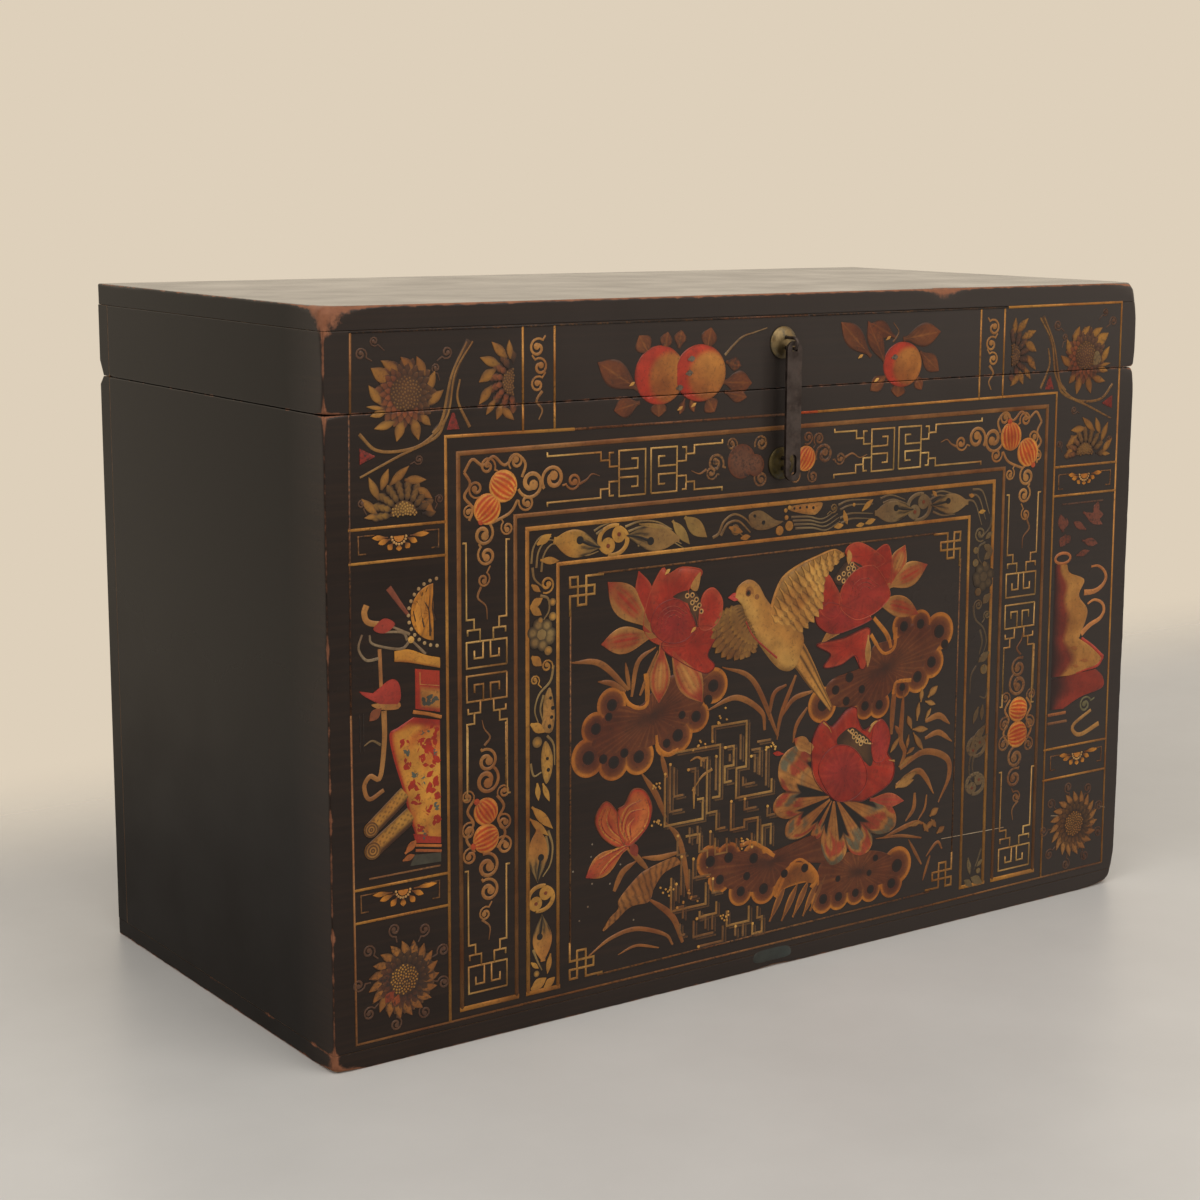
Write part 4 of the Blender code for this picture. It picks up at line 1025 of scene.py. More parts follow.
for x, z in ((-283, 399.5), (256, 443), (286, 403.5), (-288, 187.5), (-291, 153.5)):
    tendrils.disc((x, z), 2.6, "#c4552a", lift=0.4, points=12)
for centre, radius in (((-40, 428), 14), ((-26, 424), 9)):
    tendrils.disc(centre, radius, outward("#6b4431", LEAF, 0.6, 1), 0.85, points=32, steps=6)
print("tendrils:", len(tendrils.places), "shapes with", len(GOURDS), "gourds")

# %% [markdown]
# ## The lotus pond
# The picture shows three lotus flowers, their pads, a bird, a bud and a stepped garden rock: stock figures
# of this kind of furniture. Each petal is drawn as the painter laid it, from back to front: pads first,
# then the flowers, and the bird last. Round shapes are closed smooth loops through a few given
# points.

# %% Loops, blobs and shaded petals
picture = Relief()


def loop(points, spacing=2.0):
    """A closed smooth line: the curve through the points, wrapped round past both ends."""
    knots = np.asarray(points, float)
    wrapped = np.concatenate([knots[-2:], knots, knots[:3]])
    far = np.concatenate([[0], np.cumsum(np.linalg.norm(np.diff(wrapped, axis=0), axis=1))])
    line = curve(wrapped, spacing)
    first, last = (int(round(far[knot] / far[-1] * (len(line) - 1))) for knot in (2, 2 + len(knots)))
    return line[first:last]


def blob(points, paint, centre=None, edge=None, lift=0.3, hold=1.0, relief=None, steps=7):
    """A filled loop, with a thin drawn edge where one is asked for."""
    relief = relief or picture
    rim = loop(points)
    relief.fan(rim.mean(axis=0) if centre is None else centre, rim, paint, hold, lift, steps=steps)
    if edge:
        relief.stroke(np.concatenate([rim, rim[:2]]), 1.3, edge, hold, lift=lift + 0.18, smooth=False)


def shaded(body, rim, tip=None, heart=None):
    """Petal paint: body colour, a rim where |v| nears 1, and a tip or a flush at heart if given."""
    def paint(u, v):
        tone = mix(body, rim, step(np.abs(v), 0.6, 0.95))
        if heart:
            flush = step(0.6 - np.abs(v), 0.0, 0.16) * step(u, 0.26, 0.4) * step(0.88 - u, 0.0, 0.14)
            tone = mix(tone, heart, flush * (0.75 + 0.25 * np.cos(v * 12)))
        if tip:
            tone = mix(tone, tip, step(u, 0.72, 0.97))
        return mix(tone, SHADE_TAN, 0.4 * step(np.abs(np.sin(v * 9 + u)), 0.8, 1.0))
    return paint


def flesh(middle=RED, rim=PINK_RED, veins=7):
    """Lotus red: deep in the middle, paler at the rim, with darker veins that run outwards."""
    def paint(r, around):
        tone = mix(middle, rim, step(r, 0.55, 1.0) * 0.75)
        streak = step(np.cos(around * 2 * np.pi * 19 + r * 5), 0.4, 1.0) * step(r, 0.2, 0.6)
        tone = mix(tone, PINK_RED, 0.3 * streak)
        return mix(tone, DEEP_RED, 0.3 * step(np.cos(around * 2 * np.pi * veins), 0.86, 1.0))
    return paint


print("a loop through four points has", len(loop([(0, 0), (20, 0), (20, 20), (0, 20)])), "points")

# %% Lotus pads
def pad_paint(r, around):
    """Pad skin: brown, with fine paler veins that fan out from its heart."""
    vein = step(np.cos(around * 2 * np.pi * 34), 0.55, 1.0) * step(r, 0.1, 0.5)
    return mix(mix(LEAF_DARK, LEAF, step(r, -0.2, 0.55)), "#8a5326", 0.5 * vein)


def lobe_paint(r, around):
    """A rolled lobe: gold-brown rim round brown skin."""
    skin = mix(LEAF, "#7d4820", step(r, 0.5, 0.72))
    return mix(skin, LEAF_RIM, step(r, 0.72, 0.86) * step(1.06 - r, 0.0, 0.1))


def lotus_pad(lobes, bodies, notches, spots):
    """Round lobes, the brown body over their inner halves, rolled notches, and a dark spot in each lobe."""
    for x, z, radius in lobes:
        picture.disc((x, z), radius, lobe_paint, lift=0.22, points=40, steps=9)
    for body in bodies:
        blob(body, pad_paint, lift=0.34, steps=9)
    for notch in notches:
        picture.stroke(notch, 5.5, LEAF_RIM, lift=0.5, taper=(0.7, 1))
    for x, z, radius in [(x, z, 0.36 * radius) for x, z, radius in lobes] + spots:
        picture.disc((x, z), radius, outward("#1a100b", LEAF_DARK, 0.6, 1), lift=0.5, dome=0.01, steps=5)


lotus_pad(
    [(-165, 246, 14), (-180, 229, 13.5), (-187, 207, 16), (-163, 200, 15), (-139, 201, 15), (-101, 213, 15),
     (-83, 226, 13.5), (-66, 249, 15), (-112, 208, 11)],
    [[(-165, 244), (-139, 242), (-128, 250), (-110, 262), (-85, 262), (-66, 256), (-84, 226), (-125, 208),
      (-163, 203), (-185, 209), (-180, 228)]],
    [[(-155, 255), (-149, 245), (-139, 240), (-131, 244), (-132, 267)],
     [(-122, 216), (-120, 206), (-111, 199), (-100, 201)]],
    [(-168, 237, 3.6), (-173, 204, 4), (-153, 206, 4), (-97, 229, 3.6), (-71, 238, 4.4)])
lotus_pad(
    [(138, 275, 13), (157, 275, 12.5), (179, 266, 17), (171, 240, 14.5), (155, 229, 14.5), (138, 222, 10),
     (112, 210, 12), (96, 211, 12), (49, 218, 15.5)],
    [[(50, 222), (58, 238), (95, 246), (105, 262), (132, 266), (150, 277), (176, 270), (182, 256), (155, 230),
      (135, 226), (112, 213), (70, 213)]],
    [[(101, 272), (113, 256), (121, 254), (128, 259), (129, 275)], [(104, 286), (119, 270), (124, 258)],
     [(128, 217), (131, 227), (148, 227)]],
    [(186, 254, 4.4), (75, 218, 4.0), (78, 238, 4.6), (63, 229, 4.2), (92, 226, 3.8)])
lotus_pad(
    [(-67, 103, 14), (-48, 103, 13), (-57, 86, 12), (-35, 72, 12.5), (-11, 70, 13.5), (54, 49, 13),
     (71, 48, 12), (90, 48, 11), (107, 48, 11.5), (131, 49, 13), (137, 64, 17), (-22, 98, 13)],
    [[(-72, 99), (-65, 108), (-25, 105), (-5, 100), (50, 108), (60, 96), (60, 80), (35, 90), (20, 88),
      (2, 70), (-30, 70), (-62, 84)],
     [(45, 64), (50, 80), (62, 86), (110, 82), (138, 70), (144, 62), (136, 52), (90, 49), (48, 53)]],
    [[(-36, 111), (-22, 111), (0, 96)], [(14, 80), (20, 87), (31, 87), (47, 70), (41, 61)],
     [(2, 60), (8, 70), (14, 80)]],
    [(-29, 84, 3.8), (11, 79, 3.8), (33, 80, 4.0), (70, 64, 3.0), (105, 63, 3.0), (112, 75, 3.2)])
blob([(-2, 62), (6, 78), (20, 87), (35, 86), (47, 74), (49, 62), (36, 67), (14, 66)],
     outward("#85501f", LEAF_RIM, 0.5, 0.95), lift=0.36)
for x, z in ((-4, 40), (9, 38), (21, 39), (32, 38), (40, 41)):
    picture.petal((x, z), (x + 17, z + 30), 6.5, shaded("#7d4d28", LEAF_RIM), lift=0.3)
print("three lotus pads")

# %% Stems and grass
STEM = "#96622e"
STEM_SWELL = 1.35
for path, width in (
    ([(-203, 284), (-176, 280), (-149, 256)], 4.4), ([(-178, 266), (-165, 263), (-152, 255)], 4.0),
    ([(-152, 278), (-148, 256)], 3.2), ([(-123, 287), (-140, 277), (-146, 250)], 3.6),
    ([(-121, 284), (-138, 250)], 3.2), ([(-136, 187), (-122, 168), (-112, 147)], 4.4),
    ([(-117, 200), (-111, 180)], 4.0), ([(-112, 143), (-98, 125), (-88, 80)], 5.0),
    ([(-135, 118), (-118, 115), (-100, 116)], 4.0), ([(-141, 116), (-154, 109), (-162, 95)], 4.6),
    ([(-150, 128), (-141, 120), (-130, 108)], 4.4), ([(-130, 84), (-105, 64), (-94, 40)], 4.6),
    ([(-57, 263), (-25, 248), (2, 198)], 4.0), ([(-72, 229), (-42, 236), (-16, 221), (-12, 205)], 4.2),
    ([(1, 195), (5, 215), (20, 247)], 3.8), ([(6, 214), (18, 227), (38, 231)], 3.8),
    ([(-8, 213), (-3, 234), (10, 240)], 3.4), ([(18, 190), (22, 205), (33, 218)], 3.2),
    ([(184, 113), (196, 135), (192, 152), (165, 161), (138, 150)], 5.0),
    ([(178, 122), (168, 138), (157, 145), (134, 136)], 4.6), ([(195, 182), (182, 191), (166, 188)], 4.8),
    ([(198, 166), (182, 176), (166, 173)], 4.2), ([(131, 232), (128, 205), (127, 182)], 4.8),
    ([(140, 220), (139, 200), (138, 176), (143, 164), (138, 152)], 4.4), ([(131, 189), (138, 180)], 3.6),
    ([(-187, 46), (-165, 57), (-140, 60), (-112, 50), (-104, 40)], 3.2),
    ([(-158, 42), (-140, 46), (-118, 40)], 2.0), ([(146, 102), (155, 112), (156, 126)], 3.6),
    ([(122, 92), (155, 99), (166, 97)], 3.6), ([(112, 92), (140, 90), (165, 84)], 2.4),
    ([(160, 100), (168, 110), (170, 122)], 2.0), ([(171, 66), (184, 77), (190, 70)], 2.4),
    ([(168, 45), (176, 66)], 2.4), ([(150, 85), (166, 60)], 2.6),
):
    picture.stroke(path, STEM_SWELL * width, STEM, lift=0.42, taper=(0.2, 0.8, 1, 0.9, 0.5))
for base, tip, width in (
    ((150, 184), (145, 196), 6), ((151, 183), (169, 181), 6), ((152, 180), (164, 163), 6),
    ((147, 179), (145, 167), 4), ((137, 179), (126, 166), 5), ((160, 206), (161, 218), 5),
    ((168, 209), (179, 218), 7), ((165, 206), (177, 202), 5), ((156, 190), (158, 206), 5),
    ((166, 190), (172, 199), 4), ((145, 162), (154, 167), 4), ((136, 152), (152, 160), 5),
    ((133, 135), (158, 145), 8), ((133, 134), (154, 138), 7), ((174, 102), (184, 108), 7),
    ((168, 90), (180, 98), 6), ((166, 98), (173, 88), 5), ((183, 85), (192, 90), 6),
    ((150, 97), (164, 99), 5), ((176, 99), (182, 91), 5),
):
    picture.petal(base, tip, width, shaded("#a0743a", "#7a542a"), lift=0.44)
print("stems and leaflets")

# %% Garden rock
def stepped(x, z, *moves):
    """A line of steps: from its start by turns up or down and sideways."""
    shift = np.zeros((len(moves) + 1, 2))
    shift[1::2, 1] = moves[0::2]
    shift[2::2, 0] = moves[1::2]
    turns = np.append(True, np.any(shift[1:] != 0, axis=1))
    return (np.cumsum(shift, axis=0) + (x, z))[turns]


ROCK = [stepped(*line) for line in (
    (-66, 203, 12, 35, -38, -10, -25, 37, 11), (-104, 199, 0, 46, -43, -8), (-108, 190, -39, 12),
    (-104, 187, -24, 9), (-113, 183, -43, 38, 17, -6), (-77, 184, 6, 6, -46, 10, -15, 9),
    (-90, 183, 0, 7, -21), (-48, 190, -6), (-53, 196, 0, 9, -16, -9, -13, 7), (-26, 190, 0, 9, -22),
    (-26, 185, 0, 4, -14), (-34, 169, -7, 12), (-46, 150, -24, 14, 6, 14, -23), (-13, 107, 17, 9, -17),
    (-32, 150, -9, 12), (-106, 96, -28, 35, 18), (-96, 112, -32), (-88, 100, -24, 8), (-101, 90, -14),
    (-83, 56, -14, 20), (-80, 57, 0, 9, -10), (-64, 57, -12), (-78, 33, 0, 25, 13), (-49, 58, -13, 23, 13),
    (-40, 43, -8), (-32, 45, -12), (-22, 42, -9, 10, 13, -5, 10), (-77, 63, -5, 17, 10), (-62, 190, -28),
    (-37, 205, -21), (-10, 190, -32), (-6, 196, 0, -14), (-67, 128, -12), (-80, 135, -15), (-24, 108, 12),
    (-88, 135, -13), (-8, 140, -8, 8), (-97, 56, -10, 5), (-100, 130, -16, 8),
    (-92, 128, 0, 14, -15, 8, -15), (-84, 108, -16, 18), (-62, 122, -14, 12, 12), (-64, 88, -12, 8),
    (-40, 118, -8), (-100, 70, 0, 6, -10),
)]
for path in ROCK:
    picture.stroke(path + (1.5, -1.1), 4.6, "#3a2a1c", hold=0.9, lift=0.26, smooth=False)
    picture.stroke(path, 2.3, "#a37e45" if len(path) > 3 else "#86633a", hold=0.95, lift=0.5, smooth=False)
    picture.stroke(path + (3.0, -2.3), 1.8, "#664a2a", hold=0.9, lift=0.3, smooth=False)
for path in ROCK[::2]:
    picture.disc(path[0], 1.3, BRIGHT_GOLD, lift=0.6, points=8)
for x, z in (
    (-120, 174), (-119, 145), (-79, 201), (-56, 219), (-109, 86), (-32, 114), (-4, 191), (-52, 53),
    (-88, 77),
):
    for dx, dz in np.random.default_rng(z).normal(0, 3.2, (8, 2)):
        picture.disc((x + dx, z + dz), 0.95, BRIGHT_GOLD, lift=0.6, points=8)
for x, z, dx, dz in ((-88, 190, 14, -2), (-86, 165, 20, 15), (-84, 150, 0, 18)):
    picture.stroke([(x, z), (x + 0.5 * dx, z + 0.5 * dz + 3), (x + dx, z + dz)], 3.0, "#a87c3e", lift=0.5,
                   taper=(0.4, 1))
print("garden rock:", len(ROCK), "stepped lines")

# %% Petals and seed pods
warm = shaded("#a5733c", "#b98546", tip="#a23a22", heart="#a8321c")
blush = shaded("#a43a22", "#b07a40", heart="#b98546")
tan = shaded(TAN, PALE_TAN)
SKIRT_PETALS = 7


def skirt_paint(u, out):
    """Petals side by side: black wedges between them near the heart, mottled grey-green and red outside."""
    patch = np.sin(29 * u + 3 * np.sin(7 * out)) + np.sin(13 * out + 2 * np.sin(23 * u))
    patch = patch + 0.7 * np.sin(71 * u - 17 * out)
    tone = mix("#b07a3e", "#6b6550", step(patch, 0.5, 0.9) * step(out, 0.45, 0.65))
    tone = mix(tone, "#a2442a", step(-patch, 0.5, 0.9) * step(out, 0.4, 0.6))
    tone = mix(tone, "#7d5026", 0.5 * step(np.sin(2 * np.pi * 5 * SKIRT_PETALS * u), 0.5, 1))
    seam = np.abs(np.sin(np.pi * SKIRT_PETALS * u))
    tone = mix(tone, "#4a2c1a", 0.8 * step(0.16 - seam, 0.0, 0.12))
    return mix(tone, INK, step(0.72 - seam, 0.0, 0.14) * step(0.7 - out, 0.0, 0.06))


def lotus_skirt(heart, inner, gaps, reaches):
    """Old petals in a fan: radius from inner to each petal's reach, scalloped between bearings (gaps)."""
    turn = np.linspace(gaps[0], gaps[-1], 220)
    u = np.interp(turn, gaps, np.linspace(0, 1, len(gaps)))
    middles = (np.array(gaps[1:]) + gaps[:-1]) / 2
    out = np.concatenate([[0], np.linspace(0.02, 0.985, 26), [1]])
    lobe = np.abs(np.sin(np.pi * SKIRT_PETALS * u)) ** 0.6
    reach = np.interp(turn, middles, reaches) * (0.76 + 0.24 * lobe)
    radius = inner + (reach - inner)[:, None] * out
    x = heart[0] + radius * np.cos(np.radians(turn))[:, None]
    z = heart[1] + radius * np.sin(np.radians(turn))[:, None]
    u, out = np.broadcast_arrays(u[:, None], out[None])
    rise = np.where((out == 0) | (out == 1), -SINK, 0.42 + 0.2 * lobe[:, None] * out)
    picture.sheet(x, z, rise, skirt_paint(u, out))


def seed_pod(points, dots, lift=0.5):
    """The brown pod with its rings of seeds."""
    blob(points, outward("#5a4028", "#3a281b", 0.3, 1), lift=lift)
    for x, z in dots:
        picture.disc((x, z), 2.3, PALE_TAN, lift=lift + 0.14, dome=0.02, points=10)
        picture.disc((x, z), 1.2, INK, lift=lift + 0.2, dome=0.02, points=8)


print("petal paints ready; the lower flower has a skirt of", SKIRT_PETALS, "petals")

# %% First flower, upper left
for base, tip, width, paint in (((-126, 301), (-169, 343), 26, warm), ((-122, 297), (-175, 295), 22, warm),
                                ((-117, 290), (-120, 242), 21, blush), ((-110, 288), (-77, 237), 26, blush)):
    picture.petal(base, tip, width, paint, lift=0.42, belly=0.6)
picture.petal((-127, 308), (-140, 349), 17, lambda u, v: mix(RED, PINK_RED, step(np.abs(v), 0.5, 1)),
              lift=0.4, root=0.7)
blob([(-134, 300), (-134, 316), (-128, 333), (-117, 349), (-111, 344), (-98, 348), (-79, 344), (-83, 336),
      (-92, 329), (-82, 298), (-95, 286), (-120, 289)], flesh(), centre=(-110, 315), lift=0.42,
     edge=PINK_RED)
blob([(-90, 332), (-80, 343), (-83, 328)], TAN, lift=0.55)
blob([(-118, 288), (-95, 298), (-70, 298), (-63, 290), (-72, 275), (-65, 266), (-68, 261), (-77, 261),
      (-100, 273)], flesh(RED, RED, 9), centre=(-90, 284), lift=0.46, edge=DEEP_RED)
seed_pod([(-108, 326), (-88, 329), (-76, 313), (-80, 300), (-86, 302), (-94, 321)],
         [(-93, 325), (-88, 325), (-84, 321), (-81, 316), (-79, 311), (-88, 319), (-85, 314)])
blob([(-80, 316), (-75, 326), (-66, 328), (-58, 318), (-59, 306), (-65, 298), (-74, 295), (-81, 299)],
     flesh(), lift=0.55, edge=PINK_RED)
blob([(-128, 303), (-124, 317), (-112, 323), (-98, 321), (-85, 302), (-90, 292), (-102, 288), (-116, 291)],
     flesh("#942722", RED, 5), lift=0.55, edge="#8a2823")
for x, z in ((-113, 345), (-87, 296)):
    picture.petal((x - 2, z - 1), (x + 3, z + 3), 3, BRIGHT_GOLD, lift=0.7)
print("first flower:", len(picture.places), "shapes so far")

# %% Second flower, upper right
picture.petal((121, 314), (137, 345), 19, blush, lift=0.4, root=0.6)
picture.petal((118, 311), (163, 326), 22, warm, lift=0.42)
picture.petal((106, 298), (154, 284), 19, warm, lift=0.42, bend=0.05)
picture.petal((100, 292), (46, 270), 13, tan, lift=0.4, root=0.8, bend=-0.08)
blob([(42, 270), (70, 272), (97, 278), (99, 268), (96, 246), (90, 244), (84, 256), (68, 250), (50, 250),
      (57, 260)], flesh(RED, PINK_RED, 9), centre=(78, 264), lift=0.42, edge=DEEP_RED)
picture.petal((98, 272), (98, 244), 7, tan, lift=0.5)
blob([(92, 332), (113, 347), (121, 340), (122, 313), (98, 322)], flesh(RED, RED), lift=0.42, edge=PINK_RED)
blob([(72, 342), (75, 350), (88, 351), (108, 340), (114, 332), (92, 328)], flesh(), lift=0.48, edge=PINK_RED)
blob([(72, 342), (74, 347), (78, 341), (74, 334)], TAN, lift=0.6)
blob([(44, 299), (43, 316), (51, 328), (60, 318), (67, 306), (66, 295), (56, 290)], flesh(), lift=0.48,
     edge=PINK_RED)
blob([(40, 295), (48, 302), (60, 303), (98, 288), (95, 283), (62, 277), (44, 285)], flesh("#9a2a25", RED, 6),
     lift=0.52, edge="#8a2823")
seed_pod([(59, 321), (64, 330), (74, 337), (92, 331), (70, 318)],
         [(64, 324), (69, 327), (74, 331), (69, 321), (78, 334), (75, 326), (80, 330)])
blob([(66, 299), (68, 315), (78, 326), (92, 331), (106, 328), (121, 306), (113, 295), (98, 288), (82, 287)],
     flesh("#a8342a", RED, 6), lift=0.58, edge=PINK_RED)
for heart, lift in (((-106, 304), 0.8), ((94, 307), 0.84)):
    for size in (0.5, 0.75, 1.0):
        arc = np.array([(-18, -5), (-13, 10), (0, 14), (13, 7)]) * size + heart
        picture.stroke(arc, 1.2, "#b5482e", 0.8, lift, (0.3, 1))
print("second flower:", len(picture.places), "shapes so far")

# %% Third flower, below
lotus_skirt((64, 138), 5, (124, 168, 195, 228, 247, 288, 317, 345), (71, 66, 58, 38, 61, 68, 80))
picture.petal((104, 128), (143, 121), 13, shaded("#a8412f", "#b0603a"), lift=0.46)
picture.petal((39, 181), (19, 193), 13, shaded(TAN, PALE_TAN, tip="#a8452c"), lift=0.56, root=0.7)
picture.petal((8, 182), (-3, 184), 4, RED, lift=0.46)
blob([(38, 178), (40, 192), (50, 204), (60, 198), (76, 210), (86, 211), (88, 202), (96, 190), (113, 197),
      (121, 191), (125, 180), (123, 166), (131, 155), (127, 140), (104, 130), (88, 129), (58, 139),
      (41, 157)], flesh(RED, RED, 11), centre=(84, 160), lift=0.6, edge=DEEP_RED)
seed_pod([(65, 187), (80, 195), (92, 189), (104, 179), (107, 168), (104, 157), (92, 166), (70, 178)],
         [(82, 191), (86, 188), (90, 185), (94, 183), (98, 180), (84, 186), (88, 182), (92, 179)], lift=0.72)
picture.stroke([(77, 193), (88, 184), (97, 179), (105, 177)], 2.2, PALE_TAN, lift=0.95)
blob([(46, 160), (51, 174), (65, 181), (82, 177), (94, 165), (100, 150), (95, 138), (80, 131), (62, 136)],
     flesh("#9a2c26", RED, 6), lift=0.88, edge="#8a2823")
blob([(104, 176), (106, 190), (113, 197), (121, 191), (125, 180), (122, 168), (116, 160), (107, 162)],
     flesh("#9a2c26", RED, 5), lift=0.88, edge="#8a2823")
for path, width in (
    ([(50, 203), (56, 198), (59, 193)], 2.4), ([(131, 158), (124, 160)], 2.4),
    ([(101, 188), (106, 194), (114, 197)], 4),
):
    picture.stroke(path, width, TAN, lift=1.0, taper=(1, 0.3))
print("third flower:", len(picture.places), "shapes so far")

# %% Bud and curled leaf, lower left
def bud_skin(r, around):
    """Orange-red, a little golden half way out, and redder again at the rim."""
    tone = mix("#b4502a", "#c06c34", step(r, 0.2, 0.6))
    return mix(tone, "#b23a24", step(r, 0.74, 0.95))


picture.petal((-149, 130), (-189, 111), 20, shaded("#b4532a", "#c07c38", tip="#a8352a"), lift=0.42, belly=0.6)
blob([(-180, 157), (-170, 169), (-158, 156), (-152, 134), (-159, 131), (-174, 142)], bud_skin, lift=0.44,
     edge="#8a4a28")
blob([(-159, 160), (-152, 164), (-144, 175), (-132, 171), (-126, 155), (-136, 137), (-150, 130),
      (-158, 142)], bud_skin, lift=0.5, edge="#8a4a28")
for path in (
    [(-157, 133), (-171, 143), (-177, 154), (-173, 164)],
    [(-155, 136), (-166, 146), (-170, 156), (-168, 164)],
    [(-147, 132), (-134, 142), (-129, 154), (-133, 167)],
    [(-150, 134), (-154, 146), (-148, 157), (-134, 158)],
    [(-152, 136), (-157, 148), (-151, 161), (-137, 166)], [(-148, 135), (-149, 146), (-143, 152)],
    [(-151, 131), (-165, 128), (-178, 124)], [(-152, 129), (-166, 121), (-176, 112)],
):
    for shift, tone in (((0, 0), "#cf9044"), ((2.2, -0.6), "#a8341f")):
        picture.stroke(np.array(path) + shift, 2.0, tone, 0.85, lift=0.72, taper=(0.3, 1, 0.7, 0.2))
picture.petal((-147, 133), (-140, 120), 9, "#8a3a28", lift=0.4)
picture.panel(
    [(-173, 65), (-166, 74), (-158, 80), (-157, 88), (-140, 103), (-129, 108), (-104, 113), (-97, 108)],
    [(-172, 64), (-161, 70), (-146, 79), (-128, 80), (-123, 90), (-115, 100), (-106, 104), (-97, 106)],
    lambda u, v: mix("#9a6530", "#64401f", step(np.sin(u * 90 + v * 2), 0.3, 0.9)), lift=0.42)
print("bud and leaf:", len(picture.places), "shapes so far")

# %% Bird
feather = shaded("#cf9c4e", "#5f3f1b", tip="#dcae5c")
plume = shaded("#8a6532", "#3d2812", tip="#a57c3a")


def breast(u, v):
    """Tan, paler towards the belly, brown along both edges and towards the tail."""
    tone = mix(BIRD_TAN, "#c89a50", step(v, -0.4, 0.6))
    return mix(tone, "#7d5626", 0.55 * step(np.abs(v), 0.6, 1) + 0.3 * step(u, 0.6, 0.9))


def feather_rows(shoulder, trail, rows, count, width, paint, lift):
    """Feathers from a wing's shoulder line to its trailing line; a row has its start and stop on the way."""
    for start, stop in rows:
        for share in np.linspace(0.03, 0.97, count):
            lead, tip = (line[int(share * (len(line) - 1))] for line in (shoulder, trail))
            picture.petal(lead + (tip - lead) * start, lead + (tip - lead) * stop, width, paint, lift=lift,
                          belly=0.68)
        lift += 0.12


blob([(-36, 311), (-52, 310), (-61, 303), (-64, 292), (-62, 281), (-54, 274), (-42, 271), (-28, 272),
      (-20, 279), (-26, 292)], "#7d5b30", lift=0.46)
FAR_SHOULDER = curve([(-42, 310), (-34, 303), (-27, 293), (-22, 282)])
FAR_TRAIL = curve([(-60, 307), (-67, 297), (-69, 286), (-65, 276), (-56, 270), (-44, 267), (-33, 268),
                   (-23, 272)])
feather_rows(FAR_SHOULDER, FAR_TRAIL, ((0.5, 1.0), (0.24, 0.72), (0.0, 0.45)), 12, 8.0, plume, 0.52)
picture.panel([(16, 281), (27, 274), (38, 257), (48, 238), (59, 217)],
              [(8, 262), (18, 254), (30, 240), (44, 225), (57, 211)],
              lambda u, v: mix(BIRD_TAN, "#3d2812", 0.9 * step(np.sin(v * 8 + 1), 0.3, 0.8)), lift=0.5)
picture.panel(
    [(-45, 321), (-41, 328), (-31, 332), (-21, 327), (-13, 315), (-4, 306), (10, 299), (22, 288), (28, 276),
     (22, 262)],
    [(-45, 318), (-38, 311), (-34, 300), (-27, 288), (-18, 275), (-5, 260), (4, 253), (13, 251), (19, 254),
     (22, 261)], breast, lift=0.58, dome=0.5)
NEAR_EDGE = curve([(-9, 300), (-3, 318), (5, 330), (20, 338), (40, 344), (58, 348), (68, 344)])
NEAR_TIPS = curve([(8, 286), (22, 284), (36, 292), (45, 302), (46, 314), (48, 325), (57, 333), (69, 343)])
picture.panel(NEAR_EDGE[::4], NEAR_TIPS[::4], "#a57c3f", lift=0.66)
feather_rows(NEAR_EDGE, NEAR_TIPS, ((0.55, 1.07), (0.3, 0.76), (0.04, 0.48)), 14, 8.0, feather, 0.76)
picture.stroke(NEAR_EDGE[::3], 3.0, BIRD_TAN, lift=1.1, taper=(1, 0.5))
picture.stroke([(-34, 298), (-27, 286), (-16, 276), (-1, 264)], 2.6, "#b03a30", lift=1.15, taper=(0.5, 1))
picture.petal((-42, 319), (-52, 319), 7, "#b8443c", lift=0.8, root=0.9, belly=0.3)
for centre, radius, paint in (
    ((-31, 321.5), 5.0, "#9c6a34"), ((-32, 321), 3.0, "#6a3a1e"), ((-32, 321), 1.7, INK),
    ((-23, 317), 2.4, "#8a5a30"),
):
    picture.disc(centre, radius, paint, lift=1.2 - radius * 0.04, dome=0.05, points=12)
print("bird with two wings of three rows of feathers")

# %% Old damage
for x, z, far in ((189, 79, 265), (325, 78, 336), (389, 77, 396)):
    picture.stroke([(x, z), (0.5 * (x + far), z - 1), (far, z - 2)], 0.8, "#b5a78e", lift=0.2)
blob([(-19, 7), (-18, 15), (0, 16.5), (17, 15), (19, 7), (0, 6)], "#323a39", lift=0.12)
for x, z in (
    (-201, 118), (-183, 137), (-184, 127), (-156, 116), (-187, 87), (-195, 77), (-143, 68), (-183, 105),
    (-166, 102),
):
    picture.disc((x, z), 0.8, "#8d8578", lift=0.12, dome=0.02, points=8)
print("hair crack and a dull repair at the foot")

# %% [markdown]
# ## Corner flowers and ogee stems
# Each corner square holds a round flower like a sunflower, and the squares next to it hold half flowers,
# cut straight as if by a frame. A flower is a seed head, three rings of short petals and a ring of pointed
# gold leaves, laid with one loaded brush stroke each, so every leaf is a single pointed shape that is
# darker on one side. Between the flowers run pairs of stems that meet in an ogee, with a red wedge where
# they part.

# %% How a flower is made
corners = Relief()


def gold_leaf(tip):
    """One brush stroke of gold: a little brown at the root and on the side that the brush left."""
    def paint(u, v):
        tone = mix("#5a3b1c", tip, step(u, -0.1, 0.35))
        tone = mix(tone, "#7a5428", 0.6 * step(-v, 0.1, 0.9))
        return mix(tone, "#3a2614", 0.6 * step(np.abs(v), 0.84, 0.97))
    return paint


